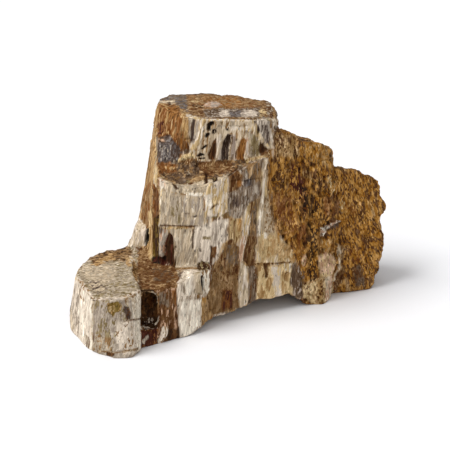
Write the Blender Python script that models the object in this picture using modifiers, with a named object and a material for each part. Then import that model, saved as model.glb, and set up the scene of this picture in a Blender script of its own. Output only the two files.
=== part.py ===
"""Petrified wood: one broken piece of silicified trunk, standing on its feet.

The stone is one solid. It is modelled as the bundles of grain that it split into: a low stub at the
front left, a ledge, a tall flared column with a shelf across its front, and a wing of weathered
sapwood that steps down to the right. Each bundle is a loft whose sections lie one above the other
along the grain. The bundles are joined, the hollows are cut, and the surface is roughened.
"""

import bmesh
import bpy
from mathutils import Vector, noise

MM = 0.001

# The grain leans to the right as it rises, and the trunk's foot flares, so fibres draw together
# upwards. These two numbers say where a fibre is at any height.
GRAIN_LEAN = 0.096
GRAIN_FLARE_PER_MM = 0.0012

# Surface relief, in millimetres.
GRAIN_RIDGE_ACROSS = 7.0
GRAIN_RIDGE_ALONG = 60.0
GRAIN_RIDGE_DEPTH = 0.8
LUMP_SIZE = 9.0
LUMP_DEPTH = 1.3
PIT_ACROSS = 5.0
PIT_ALONG = 8.0
PIT_DEPTH = 1.2
PIT_RIM = 0.6
PIT_MIDDLE = 0.35
BREAK_SIZE = 6.0
BREAK_DEPTH = 0.8

# The fine mesh that takes the relief, and how many triangles are kept of it. The feet are drawn a
# little below the ground, so that a flat cut there leaves a sole under the stone.
VOXEL = 1.4
TRIANGLES_KEPT = 8600
SOLE_SINK = 1.5

# The weathered sapwood lies to the right of this line, which leans with the grain.
SAPWOOD_EDGE_X = 14.0
SAPWOOD_EDGE_LEAN = 0.08
SAPWOOD_BLEND = 8.0

# The bundles. A section lists its corners anticlockwise seen from above, as (x, y, z) in
# millimetres, and a bundle's sections go from its foot to its head.
BUNDLES = {
    "stub": (
        (
            (-88, -27, 0), (-82, -39, 0), (-74, -51, 0), (-61, -58, 0), (-52, -58, 0), (-47, -49, 0),
            (-50, -30, 0), (-54, -8, 0), (-62, 14, 0), (-72, 12, 0), (-80, 6, 0), (-87, -4, 0), (-90, -14, 0),
        ),
        (
            (-83.5, -24, 33), (-80.5, -31, 33), (-72, -51, 33), (-59, -53, 33), (-52, -51, 33), (-47, -41, 33),
            (-51, -24, 34), (-54, -5, 34), (-58, 11, 33), (-65, 8, 33), (-72.5, 4, 33), (-78, -1, 33), (-82, -11, 33),
        ),
    ),
    "ledge": (
        (
            (-56, -38, 0), (-46, -47, 0), (-36, -42, 0), (-27, -36.5, 0),
            (-22, -10, 0), (-36, 30, 0), (-62, 22, 0), (-60, -5, 0),
        ),
        (
            (-54, -33, 30), (-46, -36, 30.5), (-36.8, -37.5, 31), (-27, -34, 31.5),
            (-22, -10, 36), (-36, 26, 36), (-57, 18, 34), (-58, -3, 33),
        ),
    ),
    "lip": (
        ((-57.5, -11, 26), (-54.5, -24.5, 26), (-50.8, -24, 26), (-53, -10, 26)),
        ((-56.3, -12.5, 38.5), (-53.3, -22.5, 34.5), (-51.5, -22, 34), (-54.2, -11.5, 38)),
    ),
    "slat": (
        (
            (-27, -37, 0), (-20, -34, 0.6), (-14.8, -30.5, 2.5), (-11, -24, 4),
            (-5, -17, 5), (-6, 0, 4), (-28, 0, 0),
        ),
        (
            (-27, -35, 33.5), (-20, -32, 36), (-14, -29, 38), (-10, -21, 38.5),
            (-5, -17, 36), (-6, 0, 38), (-28, 0, 36),
        ),
    ),
    "flare": (
        ((-58.5, 9, 26), (-54, 1, 26), (-44, -1, 26), (-46, 17, 26), (-58, 18, 26)),
        ((-54.5, 12, 41), (-51.5, 6, 45), (-44, 3, 49), (-45, 16, 50), (-51.5, 15, 48)),
    ),
    "column": (
        (
            (-59, 14, 0), (-42, -12, 0), (-34, -16, 0), (-24, -19, 0), (-12, -20.5, 2), (1, -18, 6),
            (8, -15.5, 8), (13.5, -12.5, 10), (22, 4, 7), (24, 50, 0), (-22, 52, 0), (-51, 38, 0),
        ),
        (
            (-49, 14, 58), (-38.3, -14, 58), (-32, -17, 58), (-23, -19.5, 58), (-12, -20.5, 58), (0, -19, 58),
            (8, -16, 58), (17, -11.5, 58), (25, 0, 56), (24, 41, 56), (-22, 43, 56), (-45, 34, 56),
        ),
        (
            (-42.5, 16, 95), (-37, -14, 87), (-32, -17, 84.5), (-22, -19.5, 83), (-12, -19.5, 83.5), (-3, -17, 88),
            (7, -14, 92), (21.2, -9, 98), (27, 5, 97), (25, 34, 97), (-20, 38, 97), (-40, 33, 97),
        ),
    ),
    "heel": (
        (
            (-48, 38, 0), (-44, 24, 0), (4, 24, 0), (16, 38, 0), (12, 55, 0), (-6, 58.2, 0),
            (-26, 57, 0), (-40, 50, 0),
        ),
        (
            (-41, 34, 40), (-38, 24, 44), (6, 24, 50), (14, 36, 50), (10, 49, 46), (-6, 53, 42),
            (-22, 52, 36), (-35, 45, 35),
        ),
    ),
    "back_slab": (
        ((-34, 20, 30), (-8, 20, 30), (-2, 48, 30), (-16, 53, 30), (-33, 47, 30)),
        ((-33, 20, 84), (-9, 20, 90), (-5, 38, 88), (-16, 45, 82), (-32, 40, 78)),
    ),
    "shelf_back": (
        (
            (-41, 14, 86), (-37, -8, 86), (-25, -12, 82), (-10, -13, 82),
            (8, -8, 88), (22, -4, 92), (22, 20, 88), (-30, 20, 86),
        ),
        (
            (-41, 14, 104), (-38, 1.5, 103), (-26, -1.5, 97), (-14, -5, 94),
            (4, -4.5, 94.5), (20, -2, 95.5), (22, 20, 98), (-30, 20, 104),
        ),
    ),
    "crown": (
        (
            (-42.5, 17, 90), (-38.3, 4, 90), (-22, -2, 90), (-10, -5.5, 90), (12, -5, 90), (21.5, -3.5, 90),
            (27.5, 4, 90), (27.5, 16, 90), (25, 32, 90), (4, 37, 90), (-14, 39, 90), (-35, 36, 90), (-42, 28, 90),
        ),
        (
            (-38.8, 20, 117.5), (-37.5, 13, 118), (-20.3, -4, 118), (-9.5, -6, 118), (12, -6, 118), (21.6, -4, 117.3),
            (27.3, 4, 112.5), (26.8, 16, 114.5), (23.3, 30, 115.3), (4, 34, 116.2), (-13, 38, 117), (-32.5, 34, 117.2),
            (-38.5, 27, 117.4),
        ),
    ),
    "upper_wing": (
        (
            (14, -11, 10), (28.7, -6.5, 9.3), (35.6, -3.5, 9), (42, -1.5, 6), (48.8, 2.8, 0), (54.5, 1.8, 0),
            (60.4, 10.5, 0), (66, 54, 0), (38, 58.5, 0), (16, 50, 4),
        ),
        (
            (17, -11.5, 50), (26, -7, 50), (35, -3, 50), (44, 1, 50), (50, 3.5, 50), (56, 6, 50),
            (61, 11, 50), (64, 48, 48), (38, 53, 48), (16, 44, 48),
        ),
        (
            (22, -4, 100), (28.5, 3, 107.5), (37, 8, 102.5), (41.5, 9, 98.8), (47, 10.5, 98), (51.5, 12, 97),
            (57.5, 15, 91), (58.5, 36, 82), (40, 44, 88), (20, 36, 98),
        ),
    ),
    "lower_wing": (
        (
            (54, 9, 0), (61.8, 15.2, 0), (70, 16.8, 0), (81, 19, 0), (84, 20.5, 0),
            (85, 40, 0), (72, 52, 0), (52, 50, 0),
        ),
        (
            (55, 8.5, 12), (62, 13.5, 12), (70, 16, 12), (82, 19, 12), (88, 22, 12),
            (89, 40, 12), (74, 52, 12), (52, 50, 12),
        ),
        (
            (56, 9, 34), (62, 13, 34), (71, 17.5, 34), (82, 20.5, 34), (90.6, 24, 34),
            (88, 40, 34), (73, 50, 34), (52, 48, 34),
        ),
        (
            (56.5, 10, 43), (62.5, 14.5, 43), (71.5, 19, 43), (81, 22, 43), (88.4, 25, 43),
            (86, 40, 43), (72, 48, 43), (52, 46, 43),
        ),
        (
            (57, 11, 52), (63, 15.5, 52), (71.5, 19.5, 52), (81, 23, 52), (91, 26.5, 51),
            (87, 38, 52), (71, 46, 52), (52, 44, 52),
        ),
        (
            (58, 16, 81), (63, 18.5, 78.5), (73, 22.5, 76.2), (78.5, 25, 72), (86.9, 28, 67),
            (84, 34, 64), (70, 38, 68), (54, 36, 74),
        ),
    ),
}

# The hollows, as bundles too: a pocket in the ledge's front wall, a short undercut in the wing's
# face, and a split along the grain between the column and the wing at the back.
HOLLOWS = {
    "pocket": (
        ((-47.4, -56, 9), (-39.5, -56, 7), (-39.5, -36, 8), (-47.4, -36, 9)),
        ((-47.4, -56, 29), (-38, -56, 29), (-38.5, -27, 28), (-47.4, -27, 28)),
    ),
    "undercut": (
        ((51, -6, 45), (58, -4, 46.5), (60, 10.5, 47), (52, 6.8, 44.5)),
        ((51.5, -6, 50), (66, -4, 53), (65, 12.5, 52.5), (52, 8, 49.5)),
    ),
    "split": (
        ((15, 66, -5), (20, 47, -5), (27, 66, -5)),
        ((22, 56, 112), (25, 33, 112), (35, 56, 112)),
    ),
}


def new_collection(name):
    collection = bpy.data.collections.new(name)
    bpy.context.scene.collection.children.link(collection)
    return collection


def loft(name, sections, collection):
    """A closed solid through sections that have the same number of corners."""
    bm = bmesh.new()
    rings = [[bm.verts.new(Vector(corner) * MM) for corner in section] for section in sections]
    for lower, upper in zip(rings, rings[1:]):
        for i in range(len(lower)):
            j = (i + 1) % len(lower)
            bm.faces.new((lower[i], lower[j], upper[j], upper[i]))
    bm.faces.new(reversed(rings[0]))
    bm.faces.new(rings[-1])
    bmesh.ops.triangulate(bm, faces=bm.faces)
    bmesh.ops.recalc_face_normals(bm, faces=bm.faces)
    mesh = bpy.data.meshes.new(name)
    bm.to_mesh(mesh)
    bm.free()
    obj = bpy.data.objects.new(name, mesh)
    collection.objects.link(obj)
    return obj


def sunk(sections):
    """The same sections with a foot on the ground pushed below it, so that a flat cut leaves a sole."""
    return [[(x, y, z if z > 0 else -SOLE_SINK) for x, y, z in section] for section in sections]


def joined(collection, helpers):
    """All bundles in one body, less the hollows, as an even mesh of small faces."""
    base = None
    for name, sections in BUNDLES.items():
        bundle = loft(name, sunk(sections), helpers)
        if base is None:
            base = bundle
            continue
        union = base.modifiers.new("join_" + name, "BOOLEAN")
        union.operation = "UNION"
        union.object = bundle
    for name, sections in HOLLOWS.items():
        cut = base.modifiers.new("cut_" + name, "BOOLEAN")
        cut.operation = "DIFFERENCE"
        cut.object = loft(name, sections, helpers)
    even = base.modifiers.new("even", "REMESH")
    even.mode = "VOXEL"
    even.voxel_size = VOXEL * MM
    bpy.context.view_layer.update()
    graph = bpy.context.evaluated_depsgraph_get()
    mesh = bpy.data.meshes.new_from_object(base.evaluated_get(graph))
    stone = bpy.data.objects.new("petrified_wood", mesh)
    collection.objects.link(stone)
    for helper in list(helpers.objects):
        bpy.data.objects.remove(helper)
    bpy.data.collections.remove(helpers)
    return stone


def along_grain(point):
    """The point in the wood's own frame: where its fibre meets the ground, and its height. In mm."""
    x, y, z = point / MM
    return Vector(((x - GRAIN_LEAN * z) / (1 - GRAIN_FLARE_PER_MM * z), y, z))


def smooth_step(low, high, value):
    t = min(1, max(0, (value - low) / (high - low)))
    return t * t * (3 - 2 * t)


def sapwood(point):
    """1 on the weathered wing, 0 on the split wood of the column and the stub."""
    x, _, z = point / MM
    edge = SAPWOOD_EDGE_X + SAPWOOD_EDGE_LEAN * z
    return smooth_step(edge, edge + SAPWOOD_BLEND, x)


def relief(point, normal):
    """How far the surface stands out of the smooth form here, in mm."""
    wood = along_grain(point)
    upright = abs(normal.z)
    ridge = noise.noise(
        Vector((wood.x / GRAIN_RIDGE_ACROSS, wood.y / GRAIN_RIDGE_ACROSS, wood.z / GRAIN_RIDGE_ALONG))
    )
    broken = noise.noise(wood / BREAK_SIZE)
    lump = noise.noise(wood / LUMP_SIZE)
    cells, _ = noise.voronoi(Vector((wood.x / PIT_ACROSS, wood.y / PIT_ACROSS, wood.z / PIT_ALONG)))
    pit = min(PIT_RIM, cells[0]) - PIT_MIDDLE
    split = (1 - upright) * ridge * GRAIN_RIDGE_DEPTH + upright * broken * BREAK_DEPTH
    weathered = lump * LUMP_DEPTH + pit * PIT_DEPTH
    share = sapwood(point)
    return split * (1 - share) + weathered * share


def roughen(mesh):
    mesh.update()
    moved = []
    for vertex in mesh.vertices:
        moved.append(vertex.co + vertex.normal * relief(vertex.co, vertex.normal) * MM)
    for vertex, place in zip(mesh.vertices, moved):
        vertex.co = place
    mesh.update()


def thin_out(stone):
    """Fewer faces, kept where the form needs them."""
    stone.data.calc_loop_triangles()
    fewer = stone.modifiers.new("fewer", "DECIMATE")
    fewer.ratio = TRIANGLES_KEPT / len(stone.data.loop_triangles)
    fewer.use_collapse_triangulate = True
    bpy.context.view_layer.update()
    graph = bpy.context.evaluated_depsgraph_get()
    mesh = bpy.data.meshes.new_from_object(stone.evaluated_get(graph))
    stone.modifiers.remove(fewer)
    stone.data = mesh


def stand_on_ground(stone):
    """Cuts the feet flat at z = 0, and puts the origin under the middle of the stone."""
    bm = bmesh.new()
    bm.from_mesh(stone.data)
    bmesh.ops.bisect_plane(
        bm, geom=bm.verts[:] + bm.edges[:] + bm.faces[:], plane_co=(0, 0, 0), plane_no=(0, 0, 1), clear_inner=True
    )
    rim = [edge for edge in bm.edges if edge.is_boundary]
    bmesh.ops.holes_fill(bm, edges=rim)
    bmesh.ops.triangulate(bm, faces=[face for face in bm.faces if len(face.verts) > 3])
    middle = [
        (min(v.co[axis] for v in bm.verts) + max(v.co[axis] for v in bm.verts)) / 2 for axis in (0, 1)
    ]
    bmesh.ops.translate(bm, verts=bm.verts, vec=(-middle[0], -middle[1], 0))
    bm.to_mesh(stone.data)
    bm.free()


def stone_material():
    """Silicified wood with iron staining: dull, brown, with no metal in it."""
    material = bpy.data.materials.new("silicified_wood")
    material.use_nodes = True
    shader = material.node_tree.nodes["Principled BSDF"]
    shader.inputs["Base Color"].default_value = (0.30, 0.20, 0.11, 1)
    shader.inputs["Roughness"].default_value = 0.82
    shader.inputs["Metallic"].default_value = 0
    return material


def main():
    for obj in list(bpy.data.objects):
        bpy.data.objects.remove(obj)
    stone = joined(new_collection("petrified_wood"), new_collection("bundles"))
    roughen(stone.data)
    thin_out(stone)
    stand_on_ground(stone)
    stone.data.materials.clear()
    stone.data.materials.append(stone_material())


main()
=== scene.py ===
import math
from itertools import product

import bpy
import numpy as np
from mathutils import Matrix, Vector
from mathutils.bvhtree import BVHTree


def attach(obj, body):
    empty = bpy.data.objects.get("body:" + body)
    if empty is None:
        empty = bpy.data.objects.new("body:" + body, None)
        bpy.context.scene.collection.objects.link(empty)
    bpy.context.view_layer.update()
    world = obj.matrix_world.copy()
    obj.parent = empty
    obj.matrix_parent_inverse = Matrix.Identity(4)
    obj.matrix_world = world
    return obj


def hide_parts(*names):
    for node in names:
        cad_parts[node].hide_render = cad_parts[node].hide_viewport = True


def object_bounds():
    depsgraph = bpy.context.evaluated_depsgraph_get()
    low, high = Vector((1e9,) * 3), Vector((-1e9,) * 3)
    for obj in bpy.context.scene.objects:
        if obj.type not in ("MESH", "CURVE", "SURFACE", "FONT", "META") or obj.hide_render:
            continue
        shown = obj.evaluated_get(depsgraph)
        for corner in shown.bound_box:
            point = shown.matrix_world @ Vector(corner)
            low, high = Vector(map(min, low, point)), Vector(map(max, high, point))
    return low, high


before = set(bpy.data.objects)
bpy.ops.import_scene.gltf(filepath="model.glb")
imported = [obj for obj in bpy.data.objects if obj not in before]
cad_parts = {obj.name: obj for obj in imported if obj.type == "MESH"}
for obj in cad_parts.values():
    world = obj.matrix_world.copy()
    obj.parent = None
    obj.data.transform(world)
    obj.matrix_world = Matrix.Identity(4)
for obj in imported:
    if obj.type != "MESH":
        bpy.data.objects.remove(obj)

cad_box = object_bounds()

# The camera
# It stands in front of the stone, a little above it, and looks down on it. Its place is worked out
# in the coordinates that the stone was drawn in, whose origin lies MIDDLE away from the frame's.
MM = 0.001
MIDDLE = np.array((0.980, -0.031, 0.0))
CAMERA_TARGET = np.array((-1.5, 0.0, 52.0)) - MIDDLE
CAMERA_DISTANCE = 800.0
CAMERA_ELEVATION = math.radians(26)
SENSOR = 36.0
PHOTO_SIDE = 450
FOCAL_PIXELS = 1428.57

toward_camera = np.array((0, -math.cos(CAMERA_ELEVATION), math.sin(CAMERA_ELEVATION)))
camera_right = np.array((1.0, 0.0, 0.0))
camera_up = np.array((0, math.sin(CAMERA_ELEVATION), math.cos(CAMERA_ELEVATION)))
camera_eye = CAMERA_TARGET + toward_camera * CAMERA_DISTANCE

camera = bpy.data.objects.new("camera", bpy.data.cameras.new("camera"))
bpy.context.scene.collection.objects.link(camera)
camera.location = Vector(camera_eye * MM)
camera.rotation_euler = (math.pi / 2 - CAMERA_ELEVATION, 0, 0)
camera.data.sensor_width = SENSOR
camera.data.lens = SENSOR * FOCAL_PIXELS / PHOTO_SIDE
camera.data.clip_start = 0.01
bpy.context.scene.camera = camera


def in_photo(at):
    """Where points in mm fall in the photograph, in its pixels."""
    offset = at - CAMERA_TARGET
    depth = CAMERA_DISTANCE - offset @ toward_camera
    across = PHOTO_SIDE / 2 + FOCAL_PIXELS * (offset @ camera_right) / depth
    down = PHOTO_SIDE / 2 - FOCAL_PIXELS * (offset @ camera_up) / depth
    return np.stack((across, down), axis=1)


# The stone
# One broken block of silicified trunk: quartz took the wood's place fibre by fibre, and iron stained
# it in bands. Its solid comes from the frame and is meshed again finely, so that the surface can
# take the split fibres, the crumbly sapwood, the pits and the broken ends.
FINE_MESH = 0.64
WELD_GAP = 0.02
SMOOTHING_ROUNDS = 3

node_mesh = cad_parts["petrified_wood"].data
rough_stone = bpy.data.objects.new("rough_stone", node_mesh.copy())
bpy.context.scene.collection.objects.link(rough_stone)
weld = rough_stone.modifiers.new("weld", "WELD")
weld.merge_threshold = WELD_GAP * MM
remesh = rough_stone.modifiers.new("remesh", "REMESH")
remesh.mode = "VOXEL"
remesh.voxel_size = FINE_MESH * MM
remeshed = rough_stone.evaluated_get(bpy.context.evaluated_depsgraph_get())
stone_mesh = bpy.data.meshes.new_from_object(remeshed)
bpy.data.objects.remove(rough_stone)
stone_mesh.name = "petrified_wood_surface"


def read(elements, name, width):
    """One value of every point or edge of a mesh, width numbers each."""
    numbers = np.empty(len(elements) * width, np.int32 if name == "vertices" else np.float32)
    elements.foreach_get(name, numbers)
    return numbers.reshape(-1, width)


edges = read(stone_mesh.edges, "vertices", 2)
points = read(stone_mesh.vertices, "co", 3) / MM


def relaxed(values, rounds):
    """Each value moved halfway to the mean of its neighbours along the mesh's edges, a few times."""
    count = np.bincount(edges.ravel(), minlength=len(values))[:, None]
    for _ in range(rounds):
        total = np.zeros_like(values)
        np.add.at(total, edges[:, 0], values[edges[:, 1]])
        np.add.at(total, edges[:, 1], values[edges[:, 0]])
        values = (values + total / count) / 2
    return values


points = relaxed(points.astype(float), SMOOTHING_ROUNDS)
stone_mesh.vertices.foreach_set("co", (points * MM).astype(np.float32).ravel())
stone_mesh.update()
normals = relaxed(read(stone_mesh.vertices, "normal", 3).astype(float), 1)
normals /= np.linalg.norm(normals, axis=1, keepdims=True)


def shuffled(cell, seed):
    """Three even random numbers from 0 to 1 for each cell of a lattice.

    The long numbers in it are only there to stir the bits.
    """
    x, y, z = (cell[:, i].astype(np.uint64) for i in range(3))
    mixed = x * np.uint64(73856093) ^ y * np.uint64(19349663) ^ z * np.uint64(83492791)
    mixed ^= np.uint64(seed * 2654435761)
    numbers = []
    for _ in range(3):
        mixed = (mixed ^ (mixed >> np.uint64(15))) * np.uint64(2246822519) & np.uint64(0xFFFFFFFF)
        mixed = (mixed ^ (mixed >> np.uint64(13))) * np.uint64(3266489917) & np.uint64(0xFFFFFFFF)
        mixed = mixed ^ (mixed >> np.uint64(16))
        numbers.append(mixed.astype(float) / 0xFFFFFFFF)
    return np.stack(numbers, axis=1)


CLOUD_GAIN = 1.7


def cloud(at, size, seed):
    """Smooth noise from about -1 to 1. Its lumps have the size given in mm, along x, y and z."""
    place = at / np.asarray(size, float)
    cell = np.floor(place).astype(np.int64)
    part = place - cell
    ease = part * part * part * (part * (part * 6 - 15) + 10)
    total = np.zeros(len(at))
    for corner in product((0, 1), repeat=3):
        corner = np.array(corner)
        slope = shuffled(cell + corner, seed) * 2 - 1
        weight = np.prod(np.where(corner, ease, 1 - ease), axis=1)
        total += weight * ((part - corner) * slope).sum(axis=1)
    return total * CLOUD_GAIN


def lumps(at, size, seed):
    """How far the nearest of scattered centres is, in its cell's sizes, and that cell's own number."""
    place = at / np.asarray(size, float)
    cell = np.floor(place).astype(np.int64)
    nearest = np.full(len(at), np.inf)
    number = np.zeros(len(at))
    for step in product((-1, 0, 1), repeat=3):
        other = cell + np.array(step)
        centre = shuffled(other, seed)
        far = np.sqrt(((other + centre - place) ** 2).sum(axis=1))
        closer = far < nearest
        number = np.where(closer, centre[:, 0] * 7 % 1, number)
        nearest = np.where(closer, far, nearest)
    return nearest, number


def rise(low, high, value):
    """0 below low and 1 above high, with a smooth rise between. low may be the higher of the two."""
    part = np.clip((value - low) / (high - low), 0, 1)
    return part * part * (3 - 2 * part)


# The grain
# The fibres lean to the right as they rise, and draw together upwards, most of all in the wing. Every
# pattern on the stone is laid out in these coordinates, whose z runs along the fibres.
GRAIN_LEAN = 0.096
GRAIN_FLARE_PER_MM = 0.0012
WING_FLARE_PER_MM = 0.0025
COLUMN_RIGHT = 20
WING_TIP = 75
WAVE = 0.8
WAVE_SIZE = (26, 26, 40)

drawn = points + MIDDLE
wave = WAVE * cloud(drawn, WAVE_SIZE, seed=1)
flare = GRAIN_FLARE_PER_MM + WING_FLARE_PER_MM * rise(COLUMN_RIGHT, WING_TIP, drawn[:, 0])
grain = drawn.copy()
grain[:, 0] = (drawn[:, 0] - GRAIN_LEAN * drawn[:, 2]) / (1 - flare * drawn[:, 2]) + wave

# The weathered sapwood of the wing starts at an edge that runs further right at the foot. Faces that
# look up or down are breaks across the fibres.
SAPWOOD_EDGE = 24.0
SAPWOOD_FOOT = 15.0
FOOT_HEIGHT = 25
FOOT_STARTS = 60
RAGGED_EDGE = 3

sapwood_edge = SAPWOOD_EDGE + SAPWOOD_FOOT * rise(FOOT_STARTS, FOOT_HEIGHT, drawn[:, 2])
past_edge = drawn[:, 0] - sapwood_edge + RAGGED_EDGE * cloud(grain, (5, 5, 9), seed=3)
crumbly = rise(-1.5, 2.5, past_edge)
broken = rise(0.62, 0.85, np.abs(normals[:, 2]))

# Relief of the split wood: planks a few mm wide that broke off at slightly different depths, thinner
# laths and fibres on them, and small voids.
PLANK = (4.2, 4.2, 46)
PLANK_DEPTH = 0.9
LATH = (1.9, 1.9, 16)
LATH_DEPTH = 0.6
FIBRE = (1.5, 1.5, 13)
FIBRE_DEPTH = 0.4
VOID = (3.2, 3.2, 6.5)
VOID_DEPTH = 0.9
VOID_SHARE = 0.12

_, plank = lumps(grain, PLANK, seed=5)
_, lath = lumps(grain, LATH, seed=6)
void_far, void_number = lumps(grain, VOID, seed=7)
void = rise(0.42, 0.2, void_far) * (void_number < VOID_SHARE)
fibre = cloud(grain, FIBRE, seed=8)
split_relief = (plank - 0.5) * PLANK_DEPTH + (lath - 0.5) * LATH_DEPTH
split_relief += fibre * FIBRE_DEPTH - void * VOID_DEPTH

# Relief of the weathered sapwood: lumps, upright dimples, and crumbs of a mm or two.
LUMP = (7, 7, 9)
LUMP_DEPTH = 1.0
DIMPLE = (3.1, 3.1, 5.4)
DIMPLE_DEPTH = 1.5
CRUMB = (1.9, 1.9, 2.7)
CRUMB_DEPTH = 0.8

dimple_far, dimple_number = lumps(grain, DIMPLE, seed=9)
dimple = rise(0.62, 0.12, dimple_far) * rise(0.15, 0.6, dimple_number)
crumb_far, crumb = lumps(grain, CRUMB, seed=10)
crumbly_relief = cloud(grain, LUMP, seed=11) * LUMP_DEPTH - dimple * DIMPLE_DEPTH
crumbly_relief += (crumb - 0.3 - 0.5 * crumb_far) * CRUMB_DEPTH + 0.4

# Relief of a break across the fibres: low steps, swells and grit.
STEP = (5.5, 5.5, 5.5)
STEP_DEPTH = 0.5
GRIT = (1.6, 1.6, 1.6)
GRIT_DEPTH = 0.4
SWELL = 4
SWELL_DEPTH = 0.35

_, step = lumps(drawn, STEP, seed=12)
grit = cloud(drawn, GRIT, seed=13)
broken_relief = (step - 0.5) * STEP_DEPTH + grit * GRIT_DEPTH
broken_relief += cloud(drawn, SWELL, seed=14) * SWELL_DEPTH

relief = split_relief * (1 - crumbly) + crumbly_relief * crumbly
relief = relief * (1 - broken) + broken_relief * broken

# The stains
# Iron, carbon and manganese colour such quartz in bands along the grain. These inks were matched to the
# photographed stone in many rounds, against its mean colour inside each of the marks below.
INKS = {
    "ivory": "#EEE2CE",
    "chalk": "#D5C5B1",
    "buff": "#DCC090",
    "cream": "#C2AE92",
    "straw": "#C4A87A",
    "greige": "#AB9B85",
    "lilac grey": "#A69786",
    "lilac": "#AE9C8C",
    "pink": "#C29C7E",
    "tan": "#B28E5E",
    "clay": "#90704A",
    "moss": "#8A7856",
    "violet grey": "#7A6652",
    "olive": "#745C28",
    "gold": "#AC7A34",
    "orange": "#90602E",
    "rust": "#7E5026",
    "steel": "#6E6560",
    "umber": "#63401F",
    "violet brown": "#604A36",
    "slate": "#54443A",
    "oxblood": "#4E2414",
    "bark": "#40270F",
    "soot": "#2A1807",
    "coal": "#160E06",
}


def linear(text):
    """An sRGB hex colour as linear light."""
    value = np.array([int(text[i : i + 2], 16) / 255 for i in (1, 3, 5)])
    return np.where(value <= 0.04045, value / 12.92, ((value + 0.055) / 1.055) ** 2.4)


ink = {name: linear(text) for name, text in INKS.items()}


def banded(value, names):
    """Inks laid one after another as value goes from 0 to 1."""
    place = np.clip(value, 0, 0.9999) * (len(names) - 1)
    first = place.astype(int)
    share = (place - first)[:, None]
    colours = np.array([ink[name] for name in names])
    return colours[first] * (1 - share) + colours[first + 1] * share


def blended(split, weathered, end):
    """The split wood's, the sapwood's and the broken ends' own values, each where it belongs."""
    side = split * (1 - crumbly[:, None]) + weathered * crumbly[:, None]
    end_share = (broken * (1 - crumbly))[:, None]
    return side * (1 - end_share) + end * end_share


band = 0.5 + 0.9 * cloud(grain, (10, 10, 170), seed=20) + 0.35 * cloud(grain, (3, 3, 60), seed=21)
weather = 0.5 + 0.75 * cloud(grain, (9, 9, 16), seed=22) + 0.35 * cloud(grain, (3, 3, 5), seed=23)
end_band = 0.5 + 0.8 * cloud(drawn, (9, 6, 6), seed=24) + 0.3 * cloud(drawn, 2.5, seed=25)
stain = blended(
    banded(band, ("umber", "clay", "tan", "cream", "greige", "chalk", "lilac grey", "violet brown")),
    banded(weather, ("bark", "umber", "rust", "gold", "clay", "tan")),
    banded(end_band, ("violet brown", "umber", "clay", "moss", "greige", "clay")),
)
fleck_band = 0.5 + 0.9 * cloud(grain, (6, 6, 70), seed=26)
fleck_stain = blended(
    banded(fleck_band, ("umber", "straw", "clay", "chalk", "umber")),
    banded(fleck_band, ("bark", "umber", "gold", "straw")),
    banded(fleck_band, ("bark", "clay", "cream", "umber")),
)
FLECK_SHARE = 0.3
fleck_share = np.full(len(points), FLECK_SHARE)

# Lenses of other colours lie along the grain, as iron or carbon gathered there, some of them hollow.
# Each has a range of the lenses' own random numbers, two inks and a height in mm.
LENS = (7, 7, 34)
LENSES = (
    (0.00, 0.12, "rust", "orange", -0.3),
    (0.12, 0.26, "chalk", "straw", 0.2),
    (0.26, 0.36, "violet grey", "slate", 0.0),
    (0.36, 0.44, "bark", "oxblood", -0.8),
    (0.44, 0.54, "moss", "umber", 0.0),
    (0.54, 0.62, "orange", "tan", 0.0),
)
lens_bend = 1.6 * cloud(grain, (4, 4, 14), seed=27) + 0.7 * cloud(grain, (1.8, 1.8, 6), seed=35)
lens_far, lens_number = lumps(grain + lens_bend[:, None], LENS, seed=28)
for low, high, main, second, raised in LENSES:
    cover = rise(0.46, 0.4, lens_far) * ((lens_number >= low) & (lens_number < high)) * (1 - crumbly)
    stain += (ink[main] - stain) * cover[:, None]
    fleck_stain += (ink[second] - fleck_stain) * cover[:, None]
    relief += raised * cover

# Blocks of it are cracked level across the fibres.
CRACK_SPACING = 19.0
CRACK_WIDTH = 0.5
CRACK_DEPTH = 0.8
CRACK_STAIN = 0.7
BLOCK = (24, 24, 16)
CRACKED_SHARE = 0.22

level = (drawn[:, 2] + 1.5 * cloud(drawn, 9, seed=29)) / CRACK_SPACING
_, block = lumps(drawn, BLOCK, seed=32)
crack = rise(CRACK_WIDTH, CRACK_WIDTH / 3, np.abs(level % 1 - 0.5) * CRACK_SPACING)
crack *= (block < CRACKED_SHARE) * (1 - broken)
stain += (ink["bark"] - stain) * CRACK_STAIN * crack[:, None]
relief -= CRACK_DEPTH * crack

# Outer edges are worn pale.
WORN_EDGE = 0.35
WORN_STAIN = 0.75
EDGE_ROUNDS = 14

proud = ((points - relaxed(points, EDGE_ROUNDS)) * normals).sum(axis=1)
worn = rise(WORN_EDGE, 2 * WORN_EDGE, proud + 0.12 * cloud(grain, (2, 2, 5), seed=33))[:, None]
stain += (blended(ink["chalk"], ink["tan"], ink["cream"]) - stain) * WORN_STAIN * worn

# The camera sees a point if nothing stands between them. The marks below stay on that side.
HIDDEN_CLEARANCE = 1.0
EDGE_ON = 0.02

surface = BVHTree.FromPolygons(
    [Vector(point) for point in points], [tuple(face.vertices) for face in stone_mesh.polygons]
)
to_eye = camera_eye - points
facing = (normals * to_eye).sum(axis=1) / np.linalg.norm(to_eye, axis=1)
seen = facing > EDGE_ON
ray_starts = points + normals * HIDDEN_CLEARANCE
for index in np.flatnonzero(seen):
    hit, _, _, _ = surface.ray_cast(Vector(ray_starts[index]), Vector(to_eye[index]))
    seen[index] = hit is None

pixels = in_photo(points)
stray = cloud(grain, (1.5, 1.5, 7), seed=30) + 0.8 * cloud(grain, (3.5, 3.5, 9), seed=31)


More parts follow.
